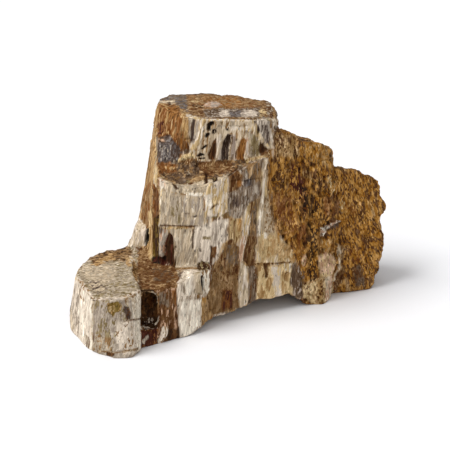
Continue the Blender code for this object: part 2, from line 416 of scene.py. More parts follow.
def inside(pixel, outline):
    """How far inside an outline each pixel is, in pixels, and below 0 outside it."""
    corners = np.array(outline, float)
    nearest = np.full(len(pixel), np.inf)
    within = np.zeros(len(pixel), bool)
    for start, end in zip(corners, np.roll(corners, -1, axis=0)):
        side = end - start
        along = np.clip(((pixel - start) @ side) / (side @ side), 0, 1)
        off_side = pixel - start - along[:, None] * side
        nearest = np.minimum(nearest, np.linalg.norm(off_side, axis=1))
        if start[1] != end[1]:
            crosses = (start[1] > pixel[:, 1]) != (end[1] > pixel[:, 1])
            cut = start[0] + (pixel[:, 1] - start[1]) / (end[1] - start[1]) * side[0]
            within ^= crosses & (pixel[:, 0] < cut)
    return np.where(within, nearest, -nearest)


def mark(
    name, main, flecks, *, at, share=0.35, raised=0.0, flat=0.0, crumbling=0.0, ragged=1.2, soft=0.0
):
    """One stain on the side that the photograph shows, laid on the surface that is seen there.

    at is its outline in the photograph's pixels, 0.56 mm each. ragged says how far its edge wanders
    from that along the grain, and soft how wide the edge is, both in pixels. flecks is a second ink
    that covers a share of it. raised is in mm, below 0 for a hollow. flat is the share of the relief
    that it takes away, and crumbling is how far its fibres have turned to crumbs.
    """
    corners = np.array(at, float)
    margin = ragged * 2 + soft + 2
    near = seen & (pixels > corners.min(axis=0) - margin).all(axis=1)
    near &= (pixels < corners.max(axis=0) + margin).all(axis=1)
    where = np.flatnonzero(near)
    depth_in = inside(pixels[where], at) + ragged * stray[where]
    if depth_in.size == 0 or depth_in.max() < 0:
        raise ValueError(f"the mark {name} falls on nothing")
    cover = rise(-0.5 - soft / 2, 0.5 + soft / 2, depth_in)
    stain[where] += (ink[main] - stain[where]) * cover[:, None]
    fleck_stain[where] += (ink[flecks] - fleck_stain[where]) * cover[:, None]
    fleck_share[where] += (share - fleck_share[where]) * cover
    for depths in (relief, dimple, void):
        depths[where] *= 1 - flat * cover
    crumbly[where] = np.maximum(crumbly[where], crumbling * cover)
    relief[where] += raised * rise(-0.4, 1.2, depth_in)


# The low stub: worn end grain on top, pale quartz down its left faces, and a speckled front with one
# olive stain.
mark("stub top", "greige", "moss", share=0.3, flat=0.5, at=(
    (76, 276), (84, 262), (96, 252), (130, 244), (150, 247), (152, 262), (136, 272), (141, 291),
    (130, 298), (93, 299)
))
mark("stub top pale", "cream", "greige", ragged=2, soft=4, at=(
    (80, 268), (92, 262), (114, 263), (116, 274), (104, 284), (84, 278)
))
mark("stub back rim", "clay", "bark", ragged=2.5, soft=1.5, at=(
    (88, 260), (96, 252), (126, 245), (134, 252), (126, 262), (110, 260), (96, 264)
))
mark("stub back tan", "tan", "umber", share=0.3, ragged=2, soft=1, at=(
    (90, 262), (112, 254), (114, 259), (96, 266)
))
mark("stub grey", "slate", "cream", share=0.5, ragged=2, soft=1, at=(
    (88, 282), (98, 280), (106, 288), (100, 293), (91, 289)
))
mark("stub rim", "chalk", "clay", share=0.3, ragged=0.9, at=(
    (78, 277), (82, 280), (94, 297), (121, 297), (141, 289), (141, 292), (121, 300), (92, 300), (79, 283)
))
mark("stub far left", "chalk", "lilac grey", share=0.4, flat=0.4, at=(
    (67, 279), (79, 281), (81, 346), (72, 338), (67, 325)
))
mark("stub far left shade", "greige", "cream", share=0.4, soft=1, at=(
    (68, 288), (71, 286), (73, 330), (69, 328)
))
mark("stub left", "chalk", "ivory", share=0.5, flat=0.7, at=((79, 283), (92, 300), (92, 354), (79, 345)))
mark("stub left rim chips", "clay", "chalk", share=0.5, raised=-0.3, at=(
    (79, 284), (83, 289), (85, 302), (81, 300)
))
mark("stub left foot chips", "greige", "umber", raised=-0.3, ragged=1, at=(
    (85, 334), (89, 337), (90, 349), (86, 347)
))
mark("stub corner", "cream", "ivory", share=0.5, ragged=0.7, at=(
    (91, 301), (93.5, 300), (93.5, 354), (91, 354)
))
mark("stub front", "lilac grey", "moss", share=0.25, flat=0.9, crumbling=0.5, soft=1.5, at=(
    (94, 300), (141, 297), (142, 350), (131, 361), (93, 361)
))
mark("stub front grain", "lilac grey", "moss", crumbling=0.6, ragged=2, soft=3, at=(
    (98, 318), (124, 322), (126, 344), (100, 342)
))
mark("stub front pale", "chalk", "clay", share=0.25, ragged=2, soft=2.5, at=(
    (118, 322), (141, 318), (142, 350), (130, 356), (118, 350)
))
mark("stub front brown", "greige", "clay", share=0.45, ragged=2, soft=3, at=(
    (94, 334), (112, 338), (112, 352), (95, 350)
))
mark("stub right", "ivory", "cream", share=0.3, flat=0.3, ragged=1, at=(
    (131, 298), (142, 292), (142, 350), (137, 350)
))
mark("olive spot", "olive", "tan", raised=-0.4, ragged=0.7, at=(
    (107, 303), (119, 301), (121, 305), (120, 311), (116, 313), (113, 318), (110, 314), (107, 311)
))
mark("olive spot bright", "straw", "olive", share=0.4, ragged=0.8, at=(
    (108, 307), (114, 306), (114, 312), (109, 312)
))
mark("dark spot one", "clay", "greige", share=0.3, raised=-0.6, ragged=0.6, at=(
    (124.5, 298), (128, 297), (128, 304), (125, 305)
))
mark("dark spot two", "umber", "slate", share=0.4, raised=-0.6, ragged=0.8, at=(
    (124, 306), (129, 307), (131, 313), (130, 320), (126, 319)
))
mark("stub front crack", "umber", "greige", share=0.3, raised=-0.5, ragged=0.4, at=(
    (124, 320), (141, 318), (141, 319.5), (124, 322)
))
mark("stub foot line", "clay", "cream", share=0.4, raised=-0.5, ragged=0.6, at=(
    (97, 350), (116, 352), (138, 348), (138, 350), (116, 354), (97, 352)
))
mark("stub foot pit", "bark", "umber", share=0.4, raised=-0.6, ragged=0.8, at=(
    (106, 352), (115, 353), (114, 357), (107, 356)
))
mark("splinter", "clay", "tan", share=0.4, raised=0.3, ragged=0.6, at=(
    (126, 256), (129, 256), (131, 266), (130, 268), (126, 264)
))
mark("splinter edge", "chalk", "straw", share=0.4, raised=0.4, ragged=0.6, at=(
    (129, 256), (133, 256), (136, 268), (134, 275), (131, 266)
))
mark("notch", "tan", "umber", share=0.3, raised=-0.7, ragged=0.5, at=(
    (133, 259), (136, 264), (137, 273), (138, 282), (135, 280), (132, 271)
))

# The ledge behind the stub, the deep pocket under its edge, and the rusty recess beside that.
mark("ledge top", "umber", "clay", share=0.3, flat=0.3, ragged=1.8, at=(
    (138, 247), (150, 246), (153, 262), (176, 266), (180, 282), (172, 290), (141, 291), (137, 276)
))
mark("ledge violet", "umber", "violet brown", share=0.4, ragged=2, soft=2, at=(
    (150, 268), (172, 270), (176, 280), (156, 284)
))
mark("ledge back", "umber", "clay", share=0.5, ragged=2, soft=1, at=(
    (136, 247), (148, 246), (150, 258), (140, 264)
))
mark("ledge edge", "umber", "clay", share=0.4, ragged=0.9, at=(
    (141, 289), (172, 288), (172, 290), (141, 291)
))
mark("recess", "umber", "pink", share=0.2, at=(
    (157, 290), (179, 288), (180, 338), (166, 344), (156, 348)
))
mark("recess violet", "violet grey", "umber", share=0.4, ragged=2, soft=1.5, at=(
    (158, 292), (168, 292), (169, 306), (159, 304)
))
mark("recess gold", "umber", "rust", share=0.4, soft=0.8, at=(
    (171, 290), (178, 290), (177, 306), (171, 303)
))
mark("recess foot", "bark", "umber", share=0.4, soft=1, at=(
    (166, 332), (180, 326), (180, 340), (166, 344)
))
mark("recess wedge", "chalk", "clay", share=0.25, raised=0.6, ragged=0.8, at=(
    (163, 326), (168, 326), (167, 334), (162, 342), (158, 347), (156, 343), (160, 334)
))
# The pocket's dark inks are partly its own dark crystals and partly painted shade in the deep hollow.
mark("pocket", "umber", "bark", share=0.5, raised=-1, ragged=0.8, at=(
    (141, 290), (151, 289), (158, 294), (158, 322), (141, 326)
))
mark("pocket edge", "umber", "clay", share=0.4, ragged=0.8, at=(
    (156, 294), (159, 294), (159, 314), (156, 312)
))
mark("pocket crystals", "bark", "chalk", share=0.3, ragged=0.8, at=(
    (143, 318), (158, 316), (157, 329), (144, 331)
))
mark("pocket foot", "oxblood", "rust", share=0.3, at=(
    (141, 330), (158, 328), (158, 348), (141, 351)
))
mark("pocket streak", "chalk", "pink", share=0.4, ragged=0.6, at=(
    (142, 341), (148, 335), (149.5, 337), (144, 344)
))
mark("ledge chips", "clay", "umber", share=0.4, raised=0.3, at=(
    (172, 283), (180, 284), (180, 288), (173, 288)
))

# The pale slat in front of the column, broken into two blocks, and the stained strip beside it.
mark("slat", "chalk", "greige", share=0.4, flat=0.4, at=(
    (177, 285), (184, 269), (202, 267), (203, 298), (202, 328), (190, 335), (179, 339)
))
mark("slat shade", "cream", "moss", share=0.2, soft=0.8, at=(
    (194, 272), (202, 270), (203, 294), (195, 294)
))
mark("slat bright", "ivory", "chalk", share=0.4, raised=0.4, ragged=0.8, at=(
    (187, 272), (193, 271), (191, 296), (185, 297)
))
mark("slat foot", "ivory", "chalk", share=0.3, flat=0.5, at=(
    (179, 302), (203, 299), (202, 327), (190, 334), (180, 337)
))
mark("slat foot bright", "ivory", "chalk", share=0.3, raised=0.3, ragged=0.8, at=(
    (180, 303), (186, 300), (184, 332), (180, 334)
))
mark("slat foot dots", "ivory", "clay", share=0.2, ragged=2, soft=1.5, at=(
    (180, 328), (200, 322), (200, 328), (181, 338)
))
mark("slat step", "chalk", "clay", share=0.3, raised=-0.5, ragged=0.7, at=(
    (187, 296), (203, 294), (203, 298), (188, 300)
))
mark("slat gold", "tan", "gold", share=0.5, ragged=1, at=((202, 298), (207, 296), (207, 306), (202, 308)))
mark("slat brown", "tan", "clay", share=0.4, ragged=1.5, soft=0.8, at=(
    (202, 306), (210, 296), (214, 314), (202, 326)
))
mark("slat dark bits", "ivory", "clay", share=0.25, raised=-0.3, flat=0.4, at=(
    (201, 270), (209, 270), (209, 294), (202, 294)
))
mark("slat pit", "coal", "bark", share=0.3, raised=-0.9, ragged=0.5, at=(
    (201, 276), (204, 275), (204, 291), (202, 291)
))

# The left side of the column: long leaning fibres, tan and rust, with a pale flare at their foot.
mark("left strip", "tan", "umber", share=0.3, flat=0.2, ragged=1, at=(
    (158, 102), (186, 104), (160, 180), (158, 264), (147, 250), (138, 246), (138, 216), (146, 160)
))
mark("left strip edge", "clay", "tan", share=0.5, soft=0.8, at=(
    (152, 112), (156, 118), (152, 160), (146, 200), (143, 226), (138, 226), (140, 200), (147, 150)
))
mark("left strip pale line", "cream", "straw", share=0.5, ragged=0.8, at=(
    (156, 132), (158, 132), (157, 180), (154, 206), (152, 206), (154, 176)
))
mark("left strip rust", "clay", "rust", share=0.5, ragged=1.5, soft=2, at=(
    (142, 190), (151, 180), (151, 226), (142, 228)
))
mark("left strip cream", "tan", "straw", share=0.4, ragged=0.9, at=(
    (148, 214), (152, 206), (153, 262), (148, 258)
))
mark("olive strip", "umber", "rust", share=0.4, raised=-0.6, ragged=0.9, at=(
    (153, 180), (159, 196), (159, 262), (152, 262), (153, 225)
))
mark("olive strip dark", "bark", "olive", raised=-0.5, ragged=1, at=(
    (153, 218), (159, 214), (159, 264), (152, 262)
))
mark("olive strip gold", "olive", "bark", share=0.4, ragged=1, at=(
    (154, 222), (158, 220), (158, 236), (154, 238)
))
mark("flare", "cream", "chalk", share=0.45, flat=0.4, at=(
    (128, 246), (133, 226), (139, 218), (146, 226), (147, 247)
))
mark("slot", "soot", "coal", share=0.5, raised=-2.0, ragged=0.5, at=(
    (146, 230), (149, 226), (149, 240), (147, 247), (144, 246)
))

# The crown's left facet: rust and orange fibres, and below them a patch of dark, glassy quartz.
mark("rust facet", "rust", "tan", share=0.3, at=(
    (158, 104), (172, 103), (184, 110), (184, 140), (188, 150), (172, 148), (156, 136)
))
mark("rust facet orange", "orange", "umber", ragged=1.8, soft=1, at=(
    (168, 104), (180, 108), (178, 122), (168, 118)
))
mark("rust facet low", "rust", "clay", share=0.4, ragged=1.5, soft=1, at=(
    (170, 120), (182, 124), (184, 150), (174, 138)
))
mark("rust facet dark", "oxblood", "rust", share=0.4, soft=0.8, at=(
    (157, 124), (165, 120), (166, 133), (157, 135)
))
mark("rust facet tan line", "rust", "tan", share=0.5, ragged=0.6, soft=1.5, at=(
    (165, 105), (168, 104), (168, 134), (166, 136)
))
mark("rust facet foot", "umber", "orange", share=0.4, soft=0.8, at=(
    (176, 138), (186, 138), (190, 150), (180, 150)
))
mark("yellow wood", "clay", "tan", share=0.5, soft=0.6, at=(
    (181, 110), (190, 112), (190, 146), (184, 140), (182, 124)
))
mark("glassy patch", "slate", "steel", share=0.4, ragged=2, soft=1, at=(
    (157, 137), (170, 135), (179, 148), (184, 152), (178, 160), (172, 164), (157, 163)
))
mark("glassy patch pale", "steel", "chalk", share=0.2, ragged=2, soft=2, at=(
    (161, 146), (170, 144), (172, 158), (162, 160)
))
mark("glassy patch pink", "violet brown", "pink", share=0.3, ragged=1.5, soft=1, at=(
    (157, 137), (163, 137), (165, 142), (158, 143)
))

# The crown's front: pale wood with open black voids, and stripes of rust, carbon and lilac quartz.
mark("crown violet", "greige", "violet grey", share=0.4, flat=0.8, ragged=0.9, at=(
    (188, 114), (197, 117), (197, 130), (191, 143), (189, 143)
))
mark("crown violet dark", "slate", "umber", raised=-0.4, ragged=0.7, at=(
    (193, 118), (196, 119), (195, 132), (193, 142), (190, 141), (191, 130)
))
mark("crown front", "cream", "clay", share=0.3, flat=0.85, ragged=1.5, at=(
    (196, 117), (255, 120), (262, 158), (200, 162), (180, 156), (190, 152), (194, 140)
))
mark("crown lilac edge", "lilac grey", "cream", share=0.4, ragged=0.8, at=(
    (196, 119), (200, 119), (198, 134), (194, 146), (192, 146)
))
mark("crown spike", "chalk", "straw", share=0.5, raised=0.5, flat=0.5, ragged=0.7, at=(
    (201, 119), (206, 119), (203, 134), (198, 146), (192, 153), (190, 149), (197, 138)
))
mark("crown olive", "moss", "greige", share=0.5, ragged=1.5, soft=1, at=(
    (249, 131), (256, 134), (261, 142), (259, 157), (250, 157)
))
mark("crown dark triangle", "bark", "umber", share=0.4, raised=-0.5, ragged=0.8, at=(
    (260, 140), (267, 146), (268, 150), (263, 153), (260, 157), (259, 150)
))
mark("pit one", "coal", "soot", raised=-1.6, ragged=0.5, at=(
    (207, 124), (210, 121), (214, 121), (214, 125), (211, 126), (210, 131), (207, 130)
))
mark("pit two", "soot", "cream", share=0.3, raised=-0.8, ragged=0.7, at=(
    (211, 130), (216, 129), (217, 132), (213, 134)
))
for name, outline in (
    ("pit three", ((206, 134), (210, 132.5), (210, 135), (207, 138), (205, 137))),
    ("pit four", ((201, 149), (205, 145), (208, 144.5), (207, 147), (202, 150))),
    ("pit five", ((196, 156), (200, 153), (204, 154), (204, 156), (198, 157))),
):
    mark(name, "coal", "soot", raised=-1.2, ragged=0.4, at=outline)
mark("pit six", "coal", "soot", raised=-1.5, ragged=0.3, at=(
    (198, 158), (205, 157.5), (205, 159), (199, 159.5)
))
mark("pit seven", "soot", "umber", share=0.4, raised=-0.9, ragged=0.5, at=(
    (193, 167), (198, 162), (203, 164), (199, 167)
))
mark("small pit one", "moss", "bark", share=0.5, raised=-0.4, ragged=0.5, at=(
    (220, 121.5), (223, 121.5), (223, 124.5), (221, 125)
))
mark("small pit two", "greige", "moss", share=0.5, raised=-0.4, ragged=0.5, at=(
    (231, 121.5), (234, 121.5), (234, 125), (232, 125)
))
mark("small pit three", "soot", "coal", share=0.5, raised=-0.4, ragged=0.6, at=(
    (225, 128), (229, 128), (229, 131), (226, 131)
))
mark("small pit four", "bark", "umber", share=0.4, raised=-0.4, ragged=0.6, at=(
    (244, 128), (248, 128), (248, 132), (245, 132)
))
mark("crown brown stripe", "umber", "bark", share=0.4, raised=-0.5, ragged=0.8, at=(
    (213, 141), (216.5, 139), (217, 150), (215, 160), (209, 160), (207.5, 155), (210, 148)
))
mark("crown brown core", "bark", "rust", share=0.4, raised=-0.4, ragged=0.6, at=(
    (213, 144), (216, 144), (215, 160), (211, 160)
))
mark("crown chalk strip", "chalk", "cream", share=0.4, raised=0.3, ragged=0.7, at=(
    (217, 134), (221, 134), (221, 160), (217, 160)
))
mark("crown dark streak", "slate", "soot", share=0.5, raised=-0.8, ragged=0.6, at=(
    (228, 134), (231.5, 135), (231, 142), (229, 150), (228.5, 160), (221, 160), (221.5, 150), (223, 141),
    (225.5, 137)
))
mark("crown streak line", "violet grey", "slate", share=0.4, raised=0.4, ragged=0.4, at=(
    (225, 148), (226.5, 147), (226, 160), (224.5, 160)
))
mark("crown lilac", "lilac", "violet grey", share=0.3, ragged=0.7, at=(
    (231.5, 135), (235.5, 135), (236, 160), (230, 160)
))
mark("orange tab", "orange", "rust", share=0.45, raised=-0.4, ragged=0.7, at=(
    (240, 140), (244, 138), (246, 140), (246, 150), (244, 158), (243, 163), (238, 163), (236, 158),
    (237, 150), (239, 145)
))
mark("orange tab edge", "pink", "chalk", share=0.5, ragged=0.6, at=(
    (246, 138), (248, 138), (249, 156), (246, 156)
))
mark("crown shelf line", "greige", "clay", share=0.4, raised=-0.3, ragged=0.5, at=(
    (218, 125), (250, 125), (250, 126.5), (218, 127)
))
mark("crown light band", "chalk", "straw", share=0.4, ragged=0.8, at=(
    (229, 127), (251, 127), (252, 131), (230, 130)
))
mark("crown diagonal", "cream", "straw", share=0.4, raised=0.4, ragged=1, at=(
    (247, 120), (254, 120), (259, 128), (267, 137), (273, 148), (268, 149), (262, 143), (254, 135),
    (249, 128)
))
mark("chamfer", "lilac grey", "slate", share=0.4, flat=0.4, at=(
    (256, 121), (270, 120), (271, 132), (269, 146), (257, 131)
))
mark("chamfer lilac", "lilac grey", "chalk", share=0.3, soft=0.8, at=(
    (257, 119), (267, 119), (267, 124), (258, 124)
))
mark("chamfer line", "chalk", "cream", share=0.5, raised=0.5, ragged=0.6, at=(
    (270, 128), (272, 128), (273, 142), (274, 148), (269, 149), (270, 140)
))
mark("chamfer right", "cream", "chalk", share=0.4, ragged=0.9, at=(
    (272, 118), (278, 116), (278, 131), (273, 130)
))
mark("crown rim", "chalk", "straw", share=0.4, ragged=0.5, at=(
    (186, 113), (200, 118), (255, 119.5), (256, 121), (200, 121), (186, 116)
))
mark("crown rim shade", "umber", "clay", share=0.4, raised=-0.4, ragged=0.5, at=(
    (203, 117), (257, 118), (257, 119.3), (203, 118.4)
))

# The top of the crown, broken across the fibres: violet grey at its left corner, rust in the middle
# and a row of lilac quartz along the front.
mark("top", "clay", "umber", share=0.4, flat=0.4, ragged=0.3, at=(
    (156, 101), (165, 91), (276, 91), (279, 118), (200, 117), (186, 112), (172, 101)
))
mark("top grey", "violet grey", "steel", share=0.4, ragged=1.5, at=(
    (157, 102), (165, 91), (186, 91), (188, 112), (172, 101)
))
mark("top pale edge", "cream", "violet grey", share=0.4, ragged=0.8, at=(
    (159, 101), (174, 100), (176, 103), (160, 103.5)
))
mark("top rust", "clay", "rust", share=0.45, ragged=2, soft=0.8, at=(
    (188, 96), (205, 93), (242, 96), (262, 104), (250, 109), (215, 108), (200, 110), (190, 108)
))
mark("top orange", "orange", "clay", share=0.5, ragged=2, soft=1, at=(
    (203, 96), (238, 97), (246, 104), (228, 107), (206, 101)
))
mark("top back rim", "umber", "violet grey", share=0.4, ragged=1, soft=0.5, at=(
    (186, 91), (276, 91), (270, 98), (240, 96), (206, 94), (188, 95)
))
mark("top dark flecks", "clay", "bark", share=0.5, ragged=1, at=(
    (192, 104), (204, 105), (204, 108), (193, 107)
))
mark("top cream line", "straw", "clay", share=0.4, ragged=0.5, at=(
    (188, 100.5), (199, 101), (199, 102.5), (188, 102)
))
mark("top pink", "lilac", "pink", share=0.4, ragged=1.3, at=(
    (203, 105), (208, 102), (217, 102), (222, 105), (216, 107), (206, 107)
))
mark("top violet", "violet brown", "lilac grey", ragged=1, at=(
    (203, 109), (260, 108), (264, 117.5), (205, 117)
))
mark("top lilac one", "chalk", "lilac", share=0.5, ragged=1.4, at=(
    (219, 114), (222, 110), (228, 110), (230, 114), (226, 117), (221, 117)
))
mark("top steel", "steel", "slate", ragged=1, at=(
    (229, 111), (241, 110.5), (241, 117), (230, 117)
))
mark("top lilac two", "chalk", "lilac", share=0.4, ragged=1.4, at=(
    (241, 114), (245, 110), (252, 110), (258, 112), (256, 116), (246, 117)
))
mark("top straw", "straw", "umber", share=0.4, at=(
    (259, 110), (268, 109), (268, 115), (260, 116)
))
mark("top right", "umber", "greige", ragged=1.5, soft=1, at=(
    (262, 97), (278, 97), (279, 118), (268, 118), (266, 106)
))
mark("top right edge", "tan", "umber", share=0.4, ragged=0.8, at=(
    (272, 104), (275, 108), (276, 118), (274, 118)
))

# The shelf below the crown: dark, splintered wood, and the pale bevel along its front edge.
mark("shelf", "violet brown", "clay", share=0.32, at=(
    (158, 163), (172, 164), (190, 157), (205, 163), (225, 160), (247, 160), (233, 168), (229, 176),
    (214, 180), (205, 179), (190, 179), (176, 184), (160, 176)
))
mark("shelf rust", "rust", "umber", share=0.4, ragged=1.5, soft=1, at=(
    (158, 163), (176, 163), (178, 172), (160, 173)
))
mark("shelf orange", "orange", "tan", share=0.4, at=(
    (164, 167), (175, 166), (176, 169), (166, 170)
))
mark("shelf straw", "straw", "moss", share=0.4, raised=0.4, ragged=1, at=(
    (176, 162), (184, 154), (192, 152), (195, 157), (188, 159), (182, 162)
))
mark("shelf moss", "clay", "umber", share=0.4, soft=0.8, at=(
    (180, 162), (190, 157), (194, 160), (188, 164)
))
mark("shelf brown", "umber", "clay", ragged=1.5, soft=1, at=(
    (196, 162), (234, 160), (230, 172), (206, 176)
))
mark("shelf glints", "cream", "violet brown", share=0.5, ragged=0.8, at=(
    (183, 171), (190, 171), (190, 174), (184, 174)
))
mark("shelf step", "clay", "tan", share=0.5, raised=0.4, ragged=0.8, at=(
    (190, 180), (196, 177), (205, 176), (205, 180), (192, 182)
))
mark("shelf step shade", "umber", "cream", share=0.3, raised=-0.5, ragged=0.5, at=(
    (186, 183), (204, 182), (204, 183.5), (186, 185)
))
mark("bevel", "cream", "greige", share=0.4, flat=0.4, ragged=1, at=(
    (160, 178), (176, 185), (190, 184), (205, 181), (229, 174), (228, 194), (204, 197), (182, 194),
    (161, 190)
))
mark("bevel corner", "chalk", "pink", ragged=0.7, at=(
    (159, 177), (163, 180), (166, 185), (163, 188), (159, 186)
))
# The bright line along the bevel's edge is a painted highlight.
mark("bevel edge highlight", "ivory", "straw", share=0.4, raised=0.4, ragged=0.7, at=(
    (184, 192), (190, 193), (208, 193), (208, 196), (190, 196), (184, 194)
))
mark("shelf notch one", "bark", "umber", raised=-1.0, ragged=0.7, at=(
    (205, 171), (208.5, 172), (207, 183), (204, 184)
))
mark("shelf notch two", "bark", "moss", raised=-1.0, ragged=0.7, at=(
    (212, 178), (217.5, 177), (217, 186), (213, 188)
))
mark("shelf notch three", "moss", "bark", share=0.5, raised=-0.8, ragged=0.5, at=(
    (171, 183), (175, 184), (179, 189), (176, 190)
))
mark("shelf notch four", "bark", "umber", share=0.4, raised=-0.8, ragged=0.9, at=(
    (228, 176), (232, 169), (237, 167), (237, 172), (231, 177)
))
mark("shelf notch five", "bark", "umber", share=0.4, raised=-0.6, ragged=0.7, at=(
    (239, 166), (243, 166), (244, 172), (241, 172)
))

# The front of the column: a smooth block cracked level across, then pale fibres, with carbon, rust
# and gold stains in them.
mark("face green", "cream", "greige", share=0.4, flat=0.7, ragged=0.8, at=(
    (160, 190), (183, 195), (184, 227), (158, 226)
))
mark("face green core", "greige", "moss", crumbling=0.3, soft=2, at=(
    (170, 196), (180, 196), (180, 224), (171, 224)
))
mark("face grey", "cream", "lilac grey", share=0.4, flat=0.8, ragged=0.6, at=(
    (183, 195), (204, 197), (204, 228), (183, 227)
))
mark("face grey spot", "ivory", "lilac grey", share=0.3, ragged=0.7, soft=0.7, at=(
    (191.5, 206), (194, 206), (194, 212), (192, 212)
))
mark("face left edge", "ivory", "straw", share=0.4, ragged=0.6, at=(
    (160, 186), (163, 187), (160.5, 206), (160, 227), (158, 227), (158.5, 204)
))
mark("face crack", "violet brown", "umber", share=0.3, raised=-0.6, ragged=0.4, at=(
    (159, 224.5), (204, 226.3), (204, 227.8), (159, 226.3)
))
mark("face straw line", "straw", "olive", ragged=0.7, soft=0.6, at=(
    (162, 227), (188, 228), (188, 231), (162, 230)
))
mark("face lilac strip", "lilac grey", "pink", share=0.3, ragged=0.8, at=(
    (159, 228), (168, 229), (165, 240), (164, 258), (159, 257)
))
mark("face low", "greige", "cream", share=0.4, flat=0.6, ragged=0.9, at=(
    (168, 229), (200, 229), (200, 268), (176, 268), (174, 250), (173, 238)
))
mark("face pale", "chalk", "lilac grey", flat=0.6, ragged=2, soft=1.5, at=(
    (196, 228), (228, 216), (228, 240), (222, 244), (217, 262), (204, 264), (198, 262)
))
mark("face slit", "bark", "umber", share=0.3, raised=-0.4, ragged=0.3, at=(
    (192.2, 229), (194, 229), (193.6, 249), (192, 248)
))
mark("face slit edge", "chalk", "cream", share=0.3, ragged=0.6, at=(
    (194, 230), (197, 230), (196, 252), (194, 250)
))
mark("spearhead", "bark", "oxblood", share=0.4, raised=-0.8, ragged=0.6, at=(
    (169, 231), (172, 236), (174, 243), (174.5, 262), (173, 267), (166, 262), (164.5, 252), (165, 243),
    (167, 236)
))
mark("spearhead foot", "oxblood", "soot", share=0.5, raised=-0.5, at=(
    (152, 257), (166, 256), (168, 265), (152, 263)
))
mark("spearhead bits", "bark", "cream", raised=-0.5, ragged=0.5, at=(
    (174.5, 246), (176.5, 246), (176.5, 268), (174.5, 268)
))
mark("face foot line", "clay", "umber", share=0.3, raised=-0.5, ragged=0.4, at=(
    (176, 267.5), (202, 267), (202, 269), (176, 269.5)
))
mark("face specks", "bark", "moss", share=0.45, raised=-0.7, ragged=1.3, at=(
    (197, 264), (203, 261), (209, 263), (209, 269), (199, 270)
))
mark("face dots one", "moss", "bark", share=0.4, raised=-0.4, ragged=0.8, at=(
    (202, 236.5), (210, 237), (210, 240), (203, 239.5)
))
mark("face dots two", "slate", "greige", share=0.3, raised=-0.4, ragged=0.6, at=(
    (199, 247), (201.5, 247), (201.5, 252), (199, 252)
))
mark("face dots three", "bark", "soot", share=0.5, raised=-0.4, ragged=0.4, at=(
    (193.5, 216), (197, 215), (197, 217), (194, 218)
))
mark("face dots four", "violet brown", "greige", share=0.4, raised=-0.3, ragged=0.4, at=(
    (184, 213), (189, 213), (189, 214.5), (184, 214.5)
))
mark("face cream", "chalk", "straw", share=0.45, flat=0.4, ragged=1, at=(
    (204, 196), (210, 182), (228, 178), (228, 214), (216, 218), (206, 217)
))
mark("face chalk", "ivory", "chalk", share=0.4, ragged=1, at=(
    (204, 195), (212, 194), (212, 206), (206, 207)
))
mark("face yellow", "chalk", "straw", share=0.5, soft=0.8, at=(
    (219, 184), (227, 180), (226, 214), (220, 214)
))
mark("scratch", "moss", "umber", share=0.4, raised=-0.5, ragged=0.3, at=(
    (208, 211), (213, 206), (218, 203.3), (217, 205.5), (211, 210)
))
mark("face dash one", "moss", "umber", share=0.4, raised=-0.3, ragged=0.5, at=(
    (208, 216), (218, 216.5), (217, 219), (213, 218)
))
mark("face dash two", "clay", "moss", share=0.3, raised=-0.5, ragged=0.8, at=(
    (222, 215), (226, 212), (231, 212), (230, 218), (224, 220)
))
mark("rust spot", "rust", "umber", raised=-0.4, ragged=0.7, at=(
    (212, 247), (217, 246), (217, 254), (215, 259), (212, 257)
))
mark("rust spot edge", "bark", "umber", share=0.4, raised=-0.5, ragged=0.6, at=(
    (210, 246), (212.5, 245), (213, 258), (212, 264), (210, 263)
))
mark("violet face", "violet grey", "lilac grey", share=0.3, ragged=1.5, at=(
    (230, 174), (248, 161), (265, 158), (263, 184), (257, 200), (248, 205), (243, 216), (236, 221),
    (228, 214), (228, 194)
))
mark("violet face olive", "clay", "violet grey", share=0.4, ragged=2, soft=2, at=(
    (244, 164), (262, 160), (262, 182), (248, 178)
))
mark("violet face brown", "umber", "clay", soft=0.8, at=(
    (229, 177), (237, 169), (243, 176), (238, 190), (229, 193)
))
mark("violet face dark", "slate", "violet grey", share=0.4, ragged=1.5, soft=2, at=(
    (232, 195), (239, 194), (239, 206), (233, 206)
))
mark("violet face pale", "lilac grey", "violet grey", share=0.5, ragged=1.5, soft=1, at=(
    (247, 188), (258, 186), (259, 200), (250, 202)
))
mark("blue spot", "steel", "slate", share=0.5, ragged=1, soft=0.6, at=(
    (244, 180), (251, 179), (251, 185), (245, 187)
))
mark("orange fleck", "orange", "pink", share=0.5, ragged=1, soft=0.5, at=(
    (237, 181), (242, 181), (242, 187), (238, 187)
))
mark("violet top edge", "straw", "clay", share=0.4, ragged=0.6, at=(
    (245, 159.5), (258, 156), (267, 155), (267, 157.5), (258, 158.5), (247, 162)
))
mark("cream tongue", "straw", "chalk", share=0.5, ragged=0.8, at=(
    (248, 203), (251, 204), (249, 220), (246, 236), (241, 248), (239, 246), (242, 232), (245, 216)
))
mark("tan tongue", "clay", "straw", share=0.4, ragged=1.3, soft=0.6, at=(
    (230, 217), (238, 219), (242, 236), (236, 246), (229, 240)
))
mark("gold spot", "gold", "tan", share=0.3, ragged=0.9, soft=0.5, at=(
    (236.5, 219), (241, 219), (241, 231), (237, 233)
))
mark("violet strip", "violet grey", "clay", raised=-0.6, ragged=0.9, at=(
    (252, 206), (256, 199), (262, 198), (258, 215), (256, 240), (255, 262), (254, 268), (250, 268),
    (243, 260), (244, 250), (248, 236), (250, 222)
))
mark("violet strip foot", "umber", "clay", share=0.4, raised=-0.3, ragged=1, at=(
    (248, 236), (256, 236), (255, 262), (254, 268), (250, 268), (243, 260), (244, 250)
))
mark("pink strip", "chalk", "pink", share=0.5, ragged=0.8, at=(
    (242, 236), (246, 234), (246, 242), (242, 254), (241, 263), (238, 262), (240, 246)
))
